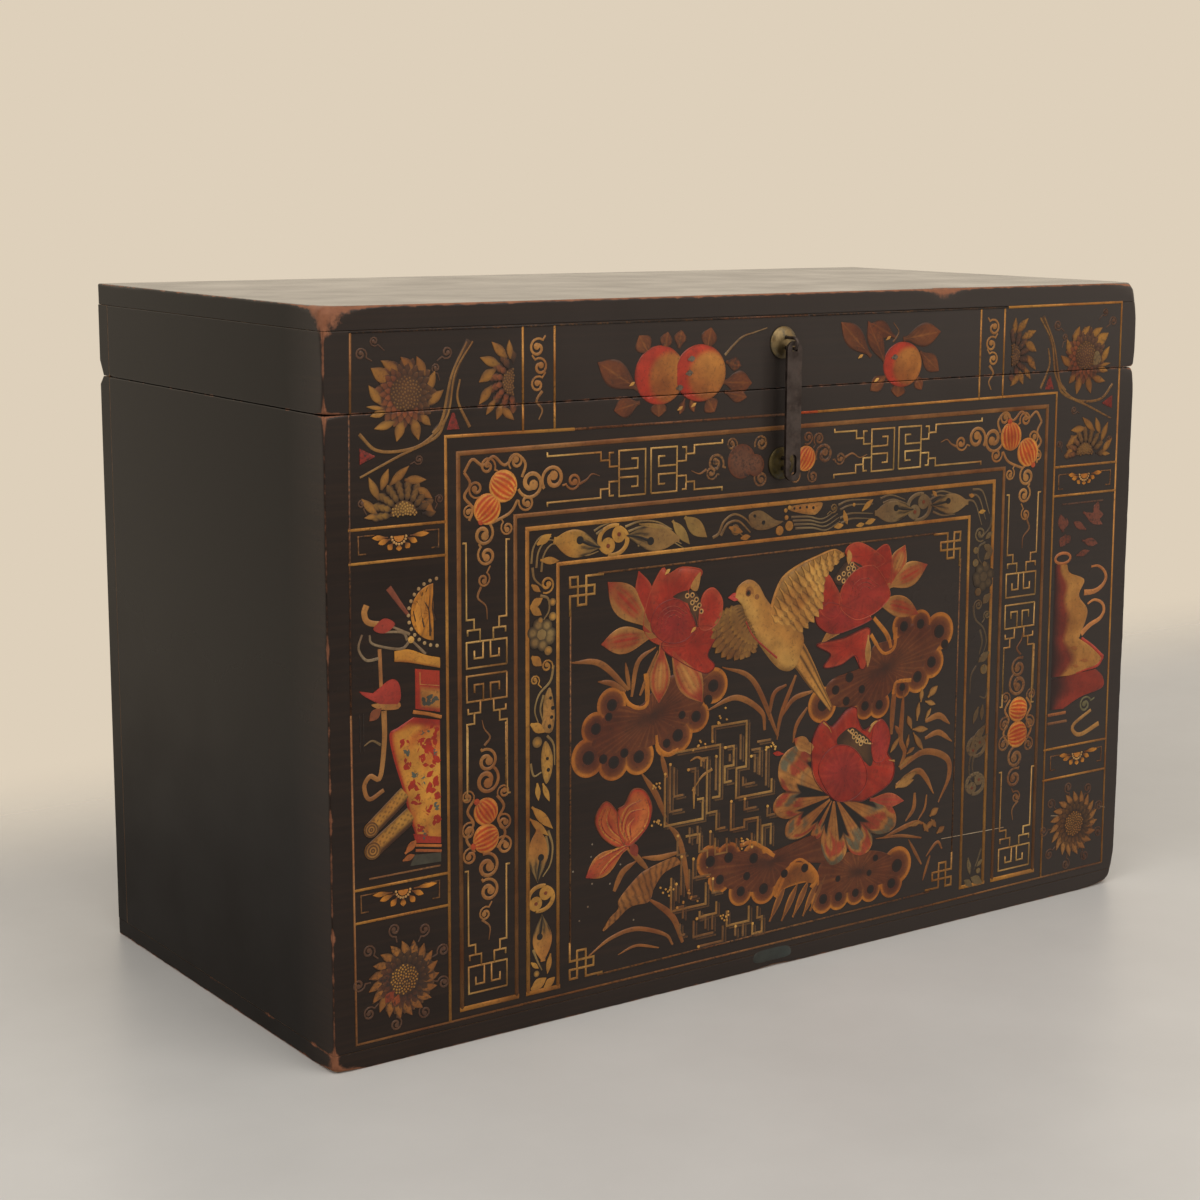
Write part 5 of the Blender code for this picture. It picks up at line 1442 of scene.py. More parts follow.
def tuft(flush):
    """A short inner petal: dark at the root and along its sides, then its flush, and a tan line on top."""
    def paint(u, v):
        tone = mix("#2b1a10", flush, 0.9 * step(u, 0.15, 0.75) * step(0.95 - np.abs(v), 0.0, 0.5))
        return mix(tone, "#8f6834", 0.7 * step(u, 0.8, 0.95) * step(v, -0.6, 0.4))
    return paint


def half_round(centre, radius, start, stop, stretch=1.0):
    """Outline of a round shape between two directions in degrees, closed by a straight cut."""
    turn = np.radians(np.linspace(start, stop, 40))
    return np.asarray(centre, float) + radius * np.stack([np.cos(turn), stretch * np.sin(turn)], axis=1)


FLUSHED_SIDE = math.radians(215)


def bloom(centre, core, ring, leaves, start=0, stop=360, tone="#5a3a1e", hold=1.0, flush="#93502a",
          seed="#7d5a2c", leaf="#a0722f"):
    """A seed head with beads, three rings of tufts, flushed on one side, and leaves as (base, tip, width)."""
    centre = np.asarray(centre, float)
    for base, tip, width in leaves:
        corners.petal(base, tip, 0.85 * width, gold_leaf(leaf), hold=hold, lift=0.3, belly=0.46)
    count = max(int((stop - start) / 360 * 2 * np.pi * ring / 6.6), 4)
    for row, (inner, outer, width) in enumerate(((0.7, 1.22, 7.2), (0.5, 1.04, 6.6), (0.42, 0.84, 6.0))):
        turns = np.linspace(start, stop, count, endpoint=stop - start < 360) + row * 180 / count
        for turn in np.radians(turns[turns <= stop]):
            way = np.array([math.cos(turn), math.sin(turn)])
            tint = mix(tone, flush, step(math.cos(turn - FLUSHED_SIDE), -0.5, 0.5) * (0.4 + 0.3 * row))
            corners.petal(centre + way * ring * inner, centre + way * ring * outer, width, tuft(tint),
                          hold=hold, lift=0.24 + 0.1 * row, belly=0.62)
    head = half_round(centre, 0.95 * core, start, stop)
    corners.fan(head.mean(axis=0), head, outward(tone, "#4a3018", 0.5, 1), hold, lift=0.56)
    # Seeds sit on a spiral, each one golden angle on from the last.
    number = np.arange(1, 78)
    turn = start + np.mod(number * 137.5 - start, 360)
    for angle, r in zip(np.radians(turn[turn <= stop]), 0.1 * core * np.sqrt(number[turn <= stop])):
        corners.disc(centre + r * np.array([math.cos(angle), math.sin(angle)]), 0.85, seed, hold, lift=0.7,
                     dome=0.1, points=6)


def ring_of_leaves(centre, inner, outer, start, stop, count, width, lean=0.3):
    """Leaves all round: base at the inner radius, tip at the outer one, leaning the same way."""
    turn = np.radians(np.linspace(start, stop, count, endpoint=stop - start < 360))
    base = np.asarray(centre) + inner * np.stack([np.cos(turn), np.sin(turn)], axis=1)
    tip = np.asarray(centre) + outer * np.stack([np.cos(turn + lean), np.sin(turn + lean)], axis=1)
    return list(zip(base, tip, [width] * count))


print("ready to draw flowers of leaves, tufts and seeds")

# %% Corner and half flowers
TOP_LEAVES = [
    ((-350, 513), (-365, 521), 9), ((-338, 513), (-349, 523), 9), ((-329, 509), (-336, 523), 9),
    ((-327, 497), (-321, 512), 9), ((-327, 488), (-314, 498), 9), ((-333, 481), (-325, 473), 8),
    ((-339, 479), (-335, 463), 10), ((-348, 478), (-353, 463), 10), ((-354, 477), (-371, 473), 8),
    ((-361, 485), (-374, 482), 7), ((-365, 490), (-375, 504), 9), ((-357, 506), (-373, 516), 13),
    ((-363, 487), (-377, 489), 4)]
SIDE_LEAVES = [
    ((-260, 519), (-273, 531), 9), ((-257, 518), (-258, 532), 7), ((-266, 514), (-283, 520), 9),
    ((-270, 511), (-284, 502), 10), ((-273, 499), (-284, 486), 9), ((-270, 489), (-278, 478), 7),
    ((-264, 486), (-269, 474), 8), ((-265, 483), (-254, 473), 8)]
LOW_LEAVES = [
    ((-370, 412), (-382, 424), 8), ((-368, 422), (-376, 439), 8), ((-366, 429), (-360, 444), 8),
    ((-359, 432), (-343, 445), 8), ((-347, 435), (-329, 434), 8), ((-337, 429), (-324, 420), 8),
    ((-333, 419), (-323, 410), 8), ((-369, 411), (-380, 410), 5)]


def shifted(leaves, flip, dx, dz):
    """The same leaves mirrored and moved to another place."""
    return [((flip * base[0] + dx, base[1] + dz), (flip * tip[0] + dx, tip[1] + dz), width)
            for base, tip, width in leaves]


bloom((-345, 497), 14, 21, TOP_LEAVES)
bloom((-254, 501), 11, 19, SIDE_LEAVES, 92, 268)
bloom((-348, 409), 12, 22, LOW_LEAVES, 2, 178, tone="#7d5c28", flush="#94702f", seed="#b08a45")
bloom((347, 497), 14, 21, shifted(TOP_LEAVES, -1, 2, 0), tone="#5d3c2b", hold=0.92)
bloom((255, 501), 11, 19, shifted(SIDE_LEAVES, -1, 1, 1), -88, 88, hold=0.85, tone="#5d3c2b")
bloom((350, 408), 12, 21, shifted(LOW_LEAVES, -1, 3, -3), 2, 178, tone="#75552a", flush="#8a5a34", hold=0.95)
bloom((-352, 62), 13, 22, ring_of_leaves((-352, 62), 17, 30, 0, 360, 19, 8), flush="#5f3218", tone="#4a2e14",
      hold=0.86, seed="#b3853a", leaf="#9a6428")
corners.petal((-361, 55), (-368, 47), 8, "#8a3a1c", hold=0.85, lift=0.56)
corners.petal((-357, 51), (-361, 43), 7, "#8f451c", hold=0.85, lift=0.56)
bloom((355, 66), 13, 22, ring_of_leaves((355, 66), 18, 31, 0, 360, 19, 7.5), flush="#6e4a22", tone="#5a4020",
      hold=0.9, seed="#a87c38", leaf="#a3743a")
blob([(357, 488), (358, 499), (363, 500), (366, 491)], "#8a7450", lift=0.8, hold=0.8, relief=corners)
print("flowers:", len(corners.places), "shapes")

# %% Ogee stems, red wedges and half daisies
STEMS = [
    [(-289, 532), (-304, 510), (-311, 479), (-330, 461), (-350, 456), (-370, 458), (-383, 470)],
    [(-294, 532), (-307, 508), (-315, 477), (-323, 467)],
    [(-383, 439), (-352, 452), (-321, 464), (-313, 476)], [(-300, 505), (-302, 490), (-292, 470)],
]
for side in (1, -1):
    corners.stroke(np.array(STEMS[1]) * (side, 1) + (side * 2, 1), 6, "#4e3822", 0.9, 0.2)
    for path in STEMS:
        corners.stroke(np.array(path) * (side, 1), 2.8, "#8f6934", 0.93 if side > 0 else 0.85, 0.4, (0.6, 1))
for x in (-306, 303):
    corners.panel([(x - 1, 481), (x - 5.5, 469)], [(x + 1, 481), (x + 5.5, 469)], "#8a2a1e", hold=0.82)
for side in (-1, 1):
    corners.panel([(side * 383, 460), (side * 371, 454)], [(side * 383, 448), (side * 371, 453)], "#8a2a1e",
                  hold=0.82)
FADED = "#5f4330"
for side in (1, -1):
    for centre, radius, leaves, hand in (
        ((-311, 525), 5, (-319, 519), 1), ((-320, 514), 4, (-317, 505), -1),
        ((-381, 526), 5, (-372, 521), 1), ((-370, 535), 4, (-362, 528), -1),
        ((-382, 420), 4, (-378, 412), 1), ((-318, 419), 4, (-322, 412), -1),
        ((-335, 449), 4, (-342, 446), 1),
    ):
        curl(corners, (side * centre[0], centre[1]), radius, (side * leaves[0], leaves[1]), side * hand,
             width=2.4, paint=FADED, hold=0.9)
    for spoke in range(9):
        turn = math.radians(20 + 40 * spoke)
        way = np.array((math.cos(turn), math.sin(turn)))
        centre = np.array((side * -353, 65)) + 37 * way
        hand = 1 if spoke % 2 else -1
        curl(corners, centre, 5.5, centre - 10 * way, hand, width=2.4, paint=FADED, hold=0.9)
for x, z, reach, hold in (
    (-352, 395, 1.0, 1.0), (-352, 131, 1.15, 1.0), (351, 391, 0.9, 0.95), (356, 133, 1.05, 0.95),
):
    for base, tip, width in (
        ((-9, -0.5), (-22, 0), 4), ((-7, -2), (-17, -4.5), 4.5), ((-5, -5), (-9, -9.5), 5),
        ((0, -6), (0, -11), 5), ((5, -5), (8.5, -9.5), 5), ((7, -2), (15, -5.5), 4.5),
        ((9, -0.5), (25, 0), 4),
    ):
        corners.petal((x + base[0], z + base[1]), (x + tip[0] * reach, z + tip[1] * reach), width,
                      outward("#6e4014", "#cf8c2e", 0.1, 0.75), hold=hold, belly=0.62)
    corners.fan((x, z - 2), half_round((x, z), 4.4, 180, 360), "#c98632", hold, lift=0.35)
    for turn in np.radians(np.linspace(185, 355, 9)):
        corners.disc((x + 6 * math.cos(turn), z + 6 * math.sin(turn)), 1.0, PALE_TAN, hold, points=8)
print("stems, wedges and half daisies;", len(corners.places), "shapes")

# %% [markdown]
# ## Antiques in the side panels
# The tall panels hold collectors' treasures, cut by the frame as if seen through a window: a fan, a fruit
# and a vase with rolled scrolls on the left, a bronze burner with curling handles on the right. The right
# one is rubbed away towards the frame, so its red fades into the black.

# %% Left panel: fan and fruit
antiques = Relief()
FAN_GOLD = "#c9882a"
antiques.fan((-327, 336), half_round((-321.5, 336.5), 21.5, 97, 263),
             lambda r, around: mix(FAN_GOLD, "#8a5a1e", step(np.sin(around * 40), 0.5, 1) * 0.8), lift=0.3)
for path in ([(-338, 346), (-334, 338), (-337, 330)], [(-329, 355), (-332, 346), (-328, 338), (-327, 319)],
             [(-324, 350), (-325, 340), (-323, 330)], [(-341, 339), (-339, 331)]):
    antiques.stroke(path, 2.0, "#3a230e", lift=0.6, taper=(0.4, 1))
for turn in np.radians(np.linspace(95, 265, 15)):
    antiques.disc((-319 + 26 * math.cos(turn), 336 + 25 * math.sin(turn)), 1.4, "#b49a6e", lift=0.35,
                  points=10)
antiques.petal((-336, 322), (-330, 352), 9, "#d8983a", bend=0.1, lift=0.5)
for path, width, paint, taper in (
    ([(-333, 352), (-335, 340), (-332, 326)], 2.0, "#4a2f18", (0.4, 1)),
    ([(-327, 349), (-328, 336), (-326, 322)], 1.6, "#5c3a1c", (0.4, 1)),
    ([(-361, 358), (-353, 347), (-344, 335)], 5.5, "#83452f", (1, 0.5)),
    ([(-379, 347), (-381, 341), (-377, 334), (-360, 331)], 5.5, "#b98545", (1, 0.8)),
    ([(-369, 314), (-368, 285)], 3.4, "#a8713f", (1, 1)),
    ([(-366, 268), (-366, 245), (-370, 219), (-378, 221), (-383, 214), (-379, 204), (-367, 209)],
     5, "#b08247", (1, 0.7)),
    ([(-383, 244), (-376, 247), (-369, 243)], 2.4, "#7d6a45", (0.4, 1)),
):
    antiques.stroke(path, width, paint, lift=0.6 if width < 2.2 else 0.34, taper=taper)
for path in (
    [(-383, 326), (-386, 316), (-380, 307), (-370, 307)],
    [(-377, 325), (-374, 318), (-352, 312), (-344, 317)], [(-366, 326), (-350, 324), (-346, 318)],
    [(-358, 329), (-344, 322)], [(-343, 318), (-331, 306)],
):
    antiques.stroke(path, 2.6, "#86735a", lift=0.4, taper=(0.7, 1))
antiques.disc((-343, 318), 2.6, BRIGHT_GOLD, lift=0.45)
blob([(-374, 329), (-365, 336), (-356, 331), (-365, 325)], "#a03a2b", lift=0.42, relief=antiques)
blob([(-386, 285), (-378, 281), (-362, 290), (-355, 289), (-352, 282), (-353, 273), (-362, 270),
      (-381, 280)], "#a8382c", lift=0.4, relief=antiques)
blob([(-376, 274), (-354, 273), (-354, 268), (-368, 269)], "#c08a4a", lift=0.36, relief=antiques)
antiques.petal((-368, 271), (-378, 262), 8, "#8a4f30", lift=0.34)
print("fan and fruit:", len(antiques.places), "shapes")

# %% Left panel: vase and rolled scrolls
# The frame cuts the vase just past this line, and no dab's middle lies beyond it.
VASE_CUT = -321.5


def vase_skin(u, v):
    """Yellow-tan glaze, warmer in clouds, with a red left edge and a red shoulder."""
    cloud = step(np.sin(u * 11 + v * 3) * np.sin(v * 4 + u * 6), 0.0, 0.7)
    skin = mix("#cd9138", "#bd5f24", 0.7 * cloud)
    skin = mix(skin, "#a8301a", step(-v, 0.72, 0.92))
    return mix(skin, "#a8301a", step(0.1 - u, 0.0, 0.06))


def vase_neck(u, v):
    """Red, with a tan panel on its lower half."""
    return mix("#b03820", "#bf8c45", step(u, 0.42, 0.5) * step(0.95 - u, 0, 0.05) * step(v, -0.6, -0.5))


def dabs(x, z, size, paint, count):
    """A blossom of loose brush dabs, scattered round one point."""
    rng = np.random.default_rng(int(100 * size - 7 * x + z))
    for dx, dz, lean in rng.normal(0, 0.6, (count, 3)):
        spot = np.array((min(x + size * dx, VASE_CUT), z + size * dz))
        way = 0.6 * size * np.array([math.cos(6 * lean), math.sin(6 * lean)])
        antiques.petal(spot - way, spot + way, 0.8 * size, paint, lift=0.58, dome=0.02)


def brocade(u, v):
    """Gold cloth round a roll: dark towards both sides, with a small dark figure woven all over."""
    figure = step(np.sin(u * 40 + 3 * v) * np.sin(v * 9 - u * 12), 0.25, 0.6)
    return mix("#c49643", "#4f3214", np.maximum(step(np.abs(v + 0.2), 0.35, 0.95), 0.6 * figure))


antiques.panel([(-357, 311), (-345, 311), (-330, 305), (-319, 302)],
               [(-357, 303), (-345, 301), (-330, 297), (-319, 294)],
               lambda u, v: mix("#d59a3c", "#a86c28", step(v, 0.4, 0.9)), lift=0.45)
antiques.panel([(-340, 296), (-340, 282), (-340, 266)], [(-319, 292), (-319, 278), (-319, 261)],
               vase_neck, lift=0.4)
antiques.stroke([(-336, 293), (-336, 284), (-320, 281)], 1.0, "#c8944a", lift=0.62, smooth=False)
dabs(-328, 272, 4.5, "#4f5854", 9)
antiques.stroke([(-342, 264), (-330, 261), (-318, 257)], 3.0, "#c88a42", lift=0.5)
antiques.panel([(-342, 260), (-355, 254), (-362, 250), (-359, 232), (-351, 206), (-346, 186), (-341, 171)],
               [(-319, 255), (-319, 166)], vase_skin, lift=0.45, across=15)
for x, z, size in (
    (-338, 243, 3.2), (-327, 237, 4.2), (-335, 229, 3.4), (-324, 225, 3.2), (-347, 224, 2.6),
    (-343, 209, 3.6), (-328, 209, 4.4), (-322, 198, 3.0), (-339, 197, 2.8), (-330, 188, 2.6),
    (-324, 180, 3.4), (-336, 176, 2.2), (-350, 242, 2.4), (-323, 246, 2.6),
):
    dabs(x, z, 1.35 * size, "#a52a14", 8)
for x, z, size in ((-347, 234, 2.6), (-333, 248, 2.0), (-338, 216, 3.6), (-335, 211, 2.4), (-324, 231, 2.0),
                   (-323, 190, 2.4), (-333, 170, 2.0)):
    dabs(x, z, 1.2 * size, "#565f58", 5)
antiques.panel([(-343, 172), (-341, 165)], [(-319, 168), (-319, 161)], "#a8321e", lift=0.45)
for drop, tone in ((0, "#c47a38"), (4, "#a85f30")):
    antiques.stroke([(-341, 163 - drop), (-319, 159 - drop)], 2.4, tone, lift=0.4)
antiques.panel([(-342, 156), (-346, 148)], [(-319, 154), (-319, 147)], "#44443a", lift=0.35)
for x, z, end_x, end_z, width in ((-378, 181, -349, 204, 12), (-377, 165, -344, 187, 13.5)):
    half = np.array([z - end_z, end_x - x]) / math.hypot(end_x - x, end_z - z) * width / 2
    roll = np.linspace((x, z), (end_x, end_z), 3)
    antiques.panel(roll + half, roll - half, brocade, lift=0.4, across=21, spacing=0.8)
    antiques.disc((x, z), width / 2, lambda r, around: mix("#d0a250", "#4f3214", np.abs(np.sin(r * 9))),
                  lift=0.55, points=24, steps=10)
antiques.petal((-350, 158), (-340, 167), 6, "#b8743a", lift=0.35)
antiques.petal((-352, 153), (-342, 156), 5, "#a8652f", lift=0.35)
antiques.stroke([(-380, 144), (-320, 144)], 1.6, DULL_GOLD, hold=0.85, smooth=False)
print("left panel:", len(antiques.places), "shapes")

# %% Right panel
def bronze(u, v):
    """Dark red that fades into the black on the left, gold-tan on the right."""
    tone = mix("#2a1715", "#7d2d1e", step(v, -1.0, -0.35))
    return mix(tone, "#b58140", step(v, -0.35, 0.1))


antiques.panel([(318, 311), (318, 240)],
               [(334, 310), (338, 302), (357, 294), (351, 280), (363, 264), (353, 240)], bronze, lift=0.35,
               across=13)
antiques.panel([(318, 240), (318, 208)], [(353, 240), (370, 231), (384, 220), (376, 212), (345, 207)], bronze,
               lift=0.35, across=13)
for path in ([(365, 305), (374, 305), (382, 300), (385, 293), (380, 286), (370, 282), (357, 282)],
             [(362, 271), (371, 274), (381, 270), (384, 263), (379, 256), (366, 251), (355, 244)]):
    antiques.stroke(path, 6.0, "#c08048", lift=0.4, taper=(0.35, 1))
antiques.stroke([(356, 240), (370, 231), (385, 219)], 4.6, "#b0402f", lift=0.5, taper=(0.7, 1))
antiques.stroke([(385, 219), (378, 212), (362, 210), (350, 208)], 3.6, "#b0402f", lift=0.5, taper=(1, 0.6))
antiques.panel([(318, 206), (318, 178)], [(377, 209), (387, 200), (386, 190), (358, 185), (336, 177)],
               lambda u, v: mix("#2a1715", "#8c3020", step(v, -0.9, 0.1)), lift=0.32, across=11)
for x, z, width, height in ((346, 233, 10, 5), (360, 220, 12, 4), (349, 216, 9, 4)):
    antiques.petal((x - width / 2, z), (x + width / 2, z - 2), height, "#a86a34", lift=0.55)
ring = half_round((328, 316), 9.5, 0, 351, 0.5)
antiques.stroke(np.concatenate([ring, ring[:1]]), 3.0, "#b87440", lift=0.45, smooth=False)
antiques.stroke([(316, 173), (339, 173)], 3.2, "#a86a38", hold=0.9, smooth=False)
antiques.stroke([(316, 165), (341, 165)], 2.8, "#8a5f3a", hold=0.9, smooth=False)
antiques.stroke([(372, 171), (350, 160), (352, 152), (362, 150), (383, 157)], 6.5, "#a87c42", lift=0.35,
                taper=(0.5, 0.8))
curl(antiques, (364, 177), 8, (376, 182), 1, width=3, paint="#6e6a4c", hold=0.9)
RUBBED = "#7d4636"
for base, tip, width in (
    ((327, 340), (323, 356), 10), ((328, 343), (331, 352), 8), ((331, 337), (324, 327), 10),
    ((330, 336), (336, 330), 9), ((352, 356), (377, 343), 9), ((360, 352), (378, 352), 10),
    ((366, 352), (371, 364), 8), ((352, 330), (372, 326), 8), ((345, 317), (362, 320), 6),
    ((356, 340), (340, 348), 7),
):
    antiques.petal(base, tip, width, RUBBED, hold=0.82, lift=0.28)
antiques.stroke([(325, 365), (377, 365)], 1.6, "#6b4a3a", hold=0.8, smooth=False)
for x in (-383, -386):
    antiques.stroke([(x, 240), (x, 268)], 1.0, DULL_GOLD, hold=0.6, smooth=False)
print("both panels:", len(antiques.places), "shapes")

# %% [markdown]
# ## Inner band of leaf scrolls
# The band next to the picture is painted in thin olive gold: comma-shaped leaves with dark eyes, round
# seed heads with two commas in them, curls, hatching and beads, which turn this way and that along one
# line. It is duller than the rest, because the gold was let down with oil, and its right column has nearly
# gone.

# %% Leaf scroll shapes
scrolls = Relief()
HUSK = "#b98b3e"
RUST_GOLD = "#b07a38"
ASH_GOLD = "#7a6238"
DRY_GOLD = "#8d7548"
FAINT_GOLD = "#776547"


def scroll_leaf(points, tone=HUSK, eyes=(), hold=1.0):
    """A filled leaf, thin and streaked towards its rim, with dark eyes."""
    def paint(r, around):
        streak = 0.3 * step(np.sin(around * 60), 0.5, 1)
        return mix(mix(tone, ASH_GOLD, 0.55 * step(r, 0.5, 1.0)), "#3a2e20", streak)
    blob(points, paint, lift=0.3, hold=hold, relief=scrolls)
    for x, z, radius in eyes:
        scrolls.disc((x, z), radius, INK, hold, lift=0.52, dome=0.02, points=14)


def paisley(point, tail, width, tone=HUSK, hold=1.0, hand=1):
    """A leaf with a bright pointed head, whose far half is hatched and curls round a dark comma."""
    def paint(u, v):
        hatch = step(np.sin(v * 10 + u * 6), 0.0, 0.6) * step(u, 0.5, 0.68)
        return mix(mix(tone, ASH_GOLD, step(u, 0.4, 0.85)), "#1d1710", 0.85 * hatch)

    point, tail = np.asarray(point, float), np.asarray(tail, float)
    scrolls.petal(point, tail, width, paint, hold=hold, lift=0.32, belly=0.46)
    way = tail - point
    side = hand * np.array([-way[1], way[0]]) / np.hypot(*way) * width
    eye = point + 0.54 * way + 0.14 * side
    scrolls.disc(eye, 0.15 * width, INK, hold, lift=0.55, dome=0.01, points=14, steps=4)
    comma = eye + np.outer((0, 0.1, 0.25, 0.44), way) + np.outer((0, -0.05, -0.12, -0.14), side)
    scrolls.stroke(comma, 0.18 * width, INK, hold, lift=0.54, taper=(1, 0.5))


def seed_head(centre, radius, tone=HUSK, hold=1.0):
    """Two commas that chase each other in an oval: a head with a red dot, and a tail half round it."""
    oval = radius * np.array((1.0, 0.8))
    for tilt in (45, 225):
        turn = np.radians(np.append(tilt, tilt - np.linspace(-20, 155, 20)))
        reach = np.append(0.48, np.linspace(0.8, 0.98, 20))
        head, *tail = centre + oval * reach[:, None] * np.stack([np.cos(turn), np.sin(turn)], axis=1)
        scrolls.stroke(tail, 5.6, tone, hold, lift=0.3, taper=(1, 0.6), smooth=False)
        scrolls.disc(head, 0.44 * radius, tone, hold, lift=0.3, dome=0.02, points=20)
        scrolls.disc(head, 0.12 * radius, "#7a3a1c", hold, lift=0.5, dome=0.02, points=10)


def touches(strokes, tone, hold=1.0):
    """Tapered brush touches: (base, tip, width)."""
    for base, tip, width in strokes:
        scrolls.petal(base, tip, width, tone, hold=hold, lift=0.3, belly=0.5)


def sweeps(paths, width, tone, hold=1.0):
    """Long thin lines that narrow towards their ends."""
    for path in paths:
        scrolls.stroke(path, width, tone, hold, lift=0.28, taper=(1, 0.45))


def hatching(path, count, shift, tone=DRY_GOLD):
    """Parallel brush lines, each moved on from the last by the same shift."""
    for row in range(count):
        scrolls.stroke(np.array(path) + np.array(shift) * row, 2.3, tone, 0.95, lift=0.24, taper=(1, 0.4))


print("husk gold is", linear(HUSK).round(2))

# %% Top of the band
paisley((-219, 380), (-176, 371), 22)
paisley((-101, 371), (-152, 378), 22, "#8f6c3c", 0.97)
paisley((102, 375), (146, 375), 19, "#7d6846")
paisley((209, 376), (165, 377), 18, "#94784a", 0.97, -1)
seed_head((-164, 375.5), 15)
seed_head((152, 376.5), 14.5, "#7a6848", 0.95)
scroll_leaf([(-32, 384), (-20, 387), (-4, 378), (4, 376), (-13, 371), (-27, 373)], "#8a7850",
            [(-26, 383, 1.4), (-17, 377, 1.8)])
scroll_leaf([(11, 388), (42, 389), (45, 386), (41, 381), (34, 379), (12, 384)], RUST_GOLD,
            [(15, 386, 1.1), (21, 386, 1.1), (28, 386, 1.2), (35, 385, 1.3)])
hatching([(-239, 364), (-237, 376), (-230, 384), (-221, 383)], 3, (4.5, -3.5))
hatching([(-153, 385), (-138, 388), (-122, 386), (-108, 379)], 5, (3, -4))
hatching([(-182, 384), (-176, 387), (-168, 389)], 2, (2, -2.5))
hatching([(-196, 368), (-188, 366), (-178, 368)], 3, (2, 3), "#8a7044")
for path, count, shift in (
    ([(12, 379), (30, 378), (45, 375), (60, 381)], 4, (1.5, -3.2)),
    ([(62, 385), (74, 388), (98, 387)], 2, (2, -4)), ([(64, 374), (76, 377), (100, 375)], 2, (1, -4.5)),
    ([(166, 385), (178, 388), (200, 382)], 2, (-2, -3.5)),
    ([(168, 371), (180, 367), (194, 367)], 2, (2, 3.5)),
    ([(214, 387), (226, 384), (235, 364)], 3, (-4.5, -4.5)),
    ([(108, 387), (120, 389), (136, 384)], 2, (3, -4)),
):
    hatching(path, count, shift, FAINT_GOLD)
touches([((-231, 366), (-214, 364), 6), ((-40, 366), (-30, 367), 5), ((-52, 376), (-38, 371), 6),
         ((68, 380), (72, 368), 5), ((88, 378), (100, 387), 5), ((92, 367), (103, 370), 5),
         ((58, 367), (68, 368), 5), ((82, 366), (91, 367), 4), ((-234, 378), (-221, 385), 7),
         ((210, 382), (216, 381), 4), ((222, 366), (230, 367), 4), ((167, 389), (172, 384), 4)], HUSK)
touches([((-96, 388), (-74, 370), 13), ((-108, 386), (-91, 366), 9), ((-140, 386), (-112, 380), 5)],
        "#94763e")
sweeps([[(-68, 369), (-62, 372), (-57, 381), (-47, 386), (-36, 382), (-28, 374)],
        [(-60, 370), (-53, 379), (-42, 380), (-30, 370)]], 3.0, DRY_GOLD)
curl(scrolls, (57, 383), 4.5, (50, 378), 1, width=1.8, paint=ASH_GOLD)
curl(scrolls, (-45, 374), 5, (-38, 368), -1, width=2.4, paint=DRY_GOLD)
for x, z, radius in ((0, 369, 4), (10, 372, 4.2), (6, 385, 1.8), (10, 387, 1.8), (7, 379, 2), (79, 384, 1.5)):
    scrolls.disc((x, z), radius, HUSK, points=12)
print("top of the band:", len(scrolls.places), "shapes")

# %% Sides of the band
ROSETTE = (-230, 309)
COLUMN_BEADS = [(-220, 333, 3), (-220, 322, 3.4), (-224, 296, 3.6), (-234, 226, 4.4), (-235, 42, 2.6),
                (-231, 320, 2.4)]
COLUMN_LEAVES = [
    ((-240, 331), (-229, 337), 7), ((-240, 331), (-230, 324), 7), ((-239, 348), (-231, 342), 5),
    ((-239, 293), (-230, 285), 8), ((-240, 241), (-227, 233), 8), ((-229, 193), (-223, 178), 5),
    ((-234, 194), (-233, 180), 5), ((-239, 176), (-220, 156), 8), ((-241, 167), (-224, 151), 6),
    ((-222, 56), (-225, 40), 5), ((-240, 52), (-233, 46), 4), ((-240, 30), (-226, 37), 9),
    ((-228, 29), (-218, 36), 7)]
COLUMN_SWEEPS = [
    [(-238, 361), (-236, 352), (-228, 345)], [(-231, 339), (-224, 336), (-223, 327), (-228, 320)],
    [(-219, 284), (-222, 272), (-232, 263), (-236, 251), (-233, 241)],
    [(-228, 262), (-231, 251), (-228, 240)], [(-240, 210), (-237, 200), (-230, 202)],
    [(-224, 155), (-220, 142), (-222, 128), (-229, 119)], [(-225, 230), (-219, 222), (-218, 206)],
    [(-238, 62), (-234, 52), (-230, 44)], [(-226, 151), (-224, 138), (-229, 124)]]
COLUMN_CURLS = [((-225, 347), 7, (-229, 340), 1), ((-225, 284), 5.5, (-219, 281), 1),
                ((-236, 274), 4.5, (-230, 268), 1)]


def column(side, tone, dull, hold):
    """One side of the band from top to foot: drawn for the left, mirrored and fainter for the right."""
    mirror = np.array((side, 1))
    for x, z, radius in COLUMN_BEADS:
        scrolls.disc(mirror * (x, z), radius, outward(tone, ASH_GOLD, 0.3, 0.9), hold, points=16)
    for spot in half_round(ROSETTE, 8, 0, 360)[::6]:
        scrolls.disc(mirror * spot, 5.2, outward(dull, "#2e2416", 0.3, 0.9), hold, dome=0.03)
    scrolls.disc(mirror * ROSETTE, 5, dull, hold, dome=0.03)
    touches([(mirror * base, mirror * tip, width) for base, tip, width in COLUMN_LEAVES], tone, hold)
    sweeps([mirror * path for path in COLUMN_SWEEPS], 2.6, dull, hold)
    for centre, radius, leaves, hand in COLUMN_CURLS:
        curl(scrolls, mirror * centre, radius, mirror * leaves, side * hand, width=2.8, paint=tone, hold=hold)


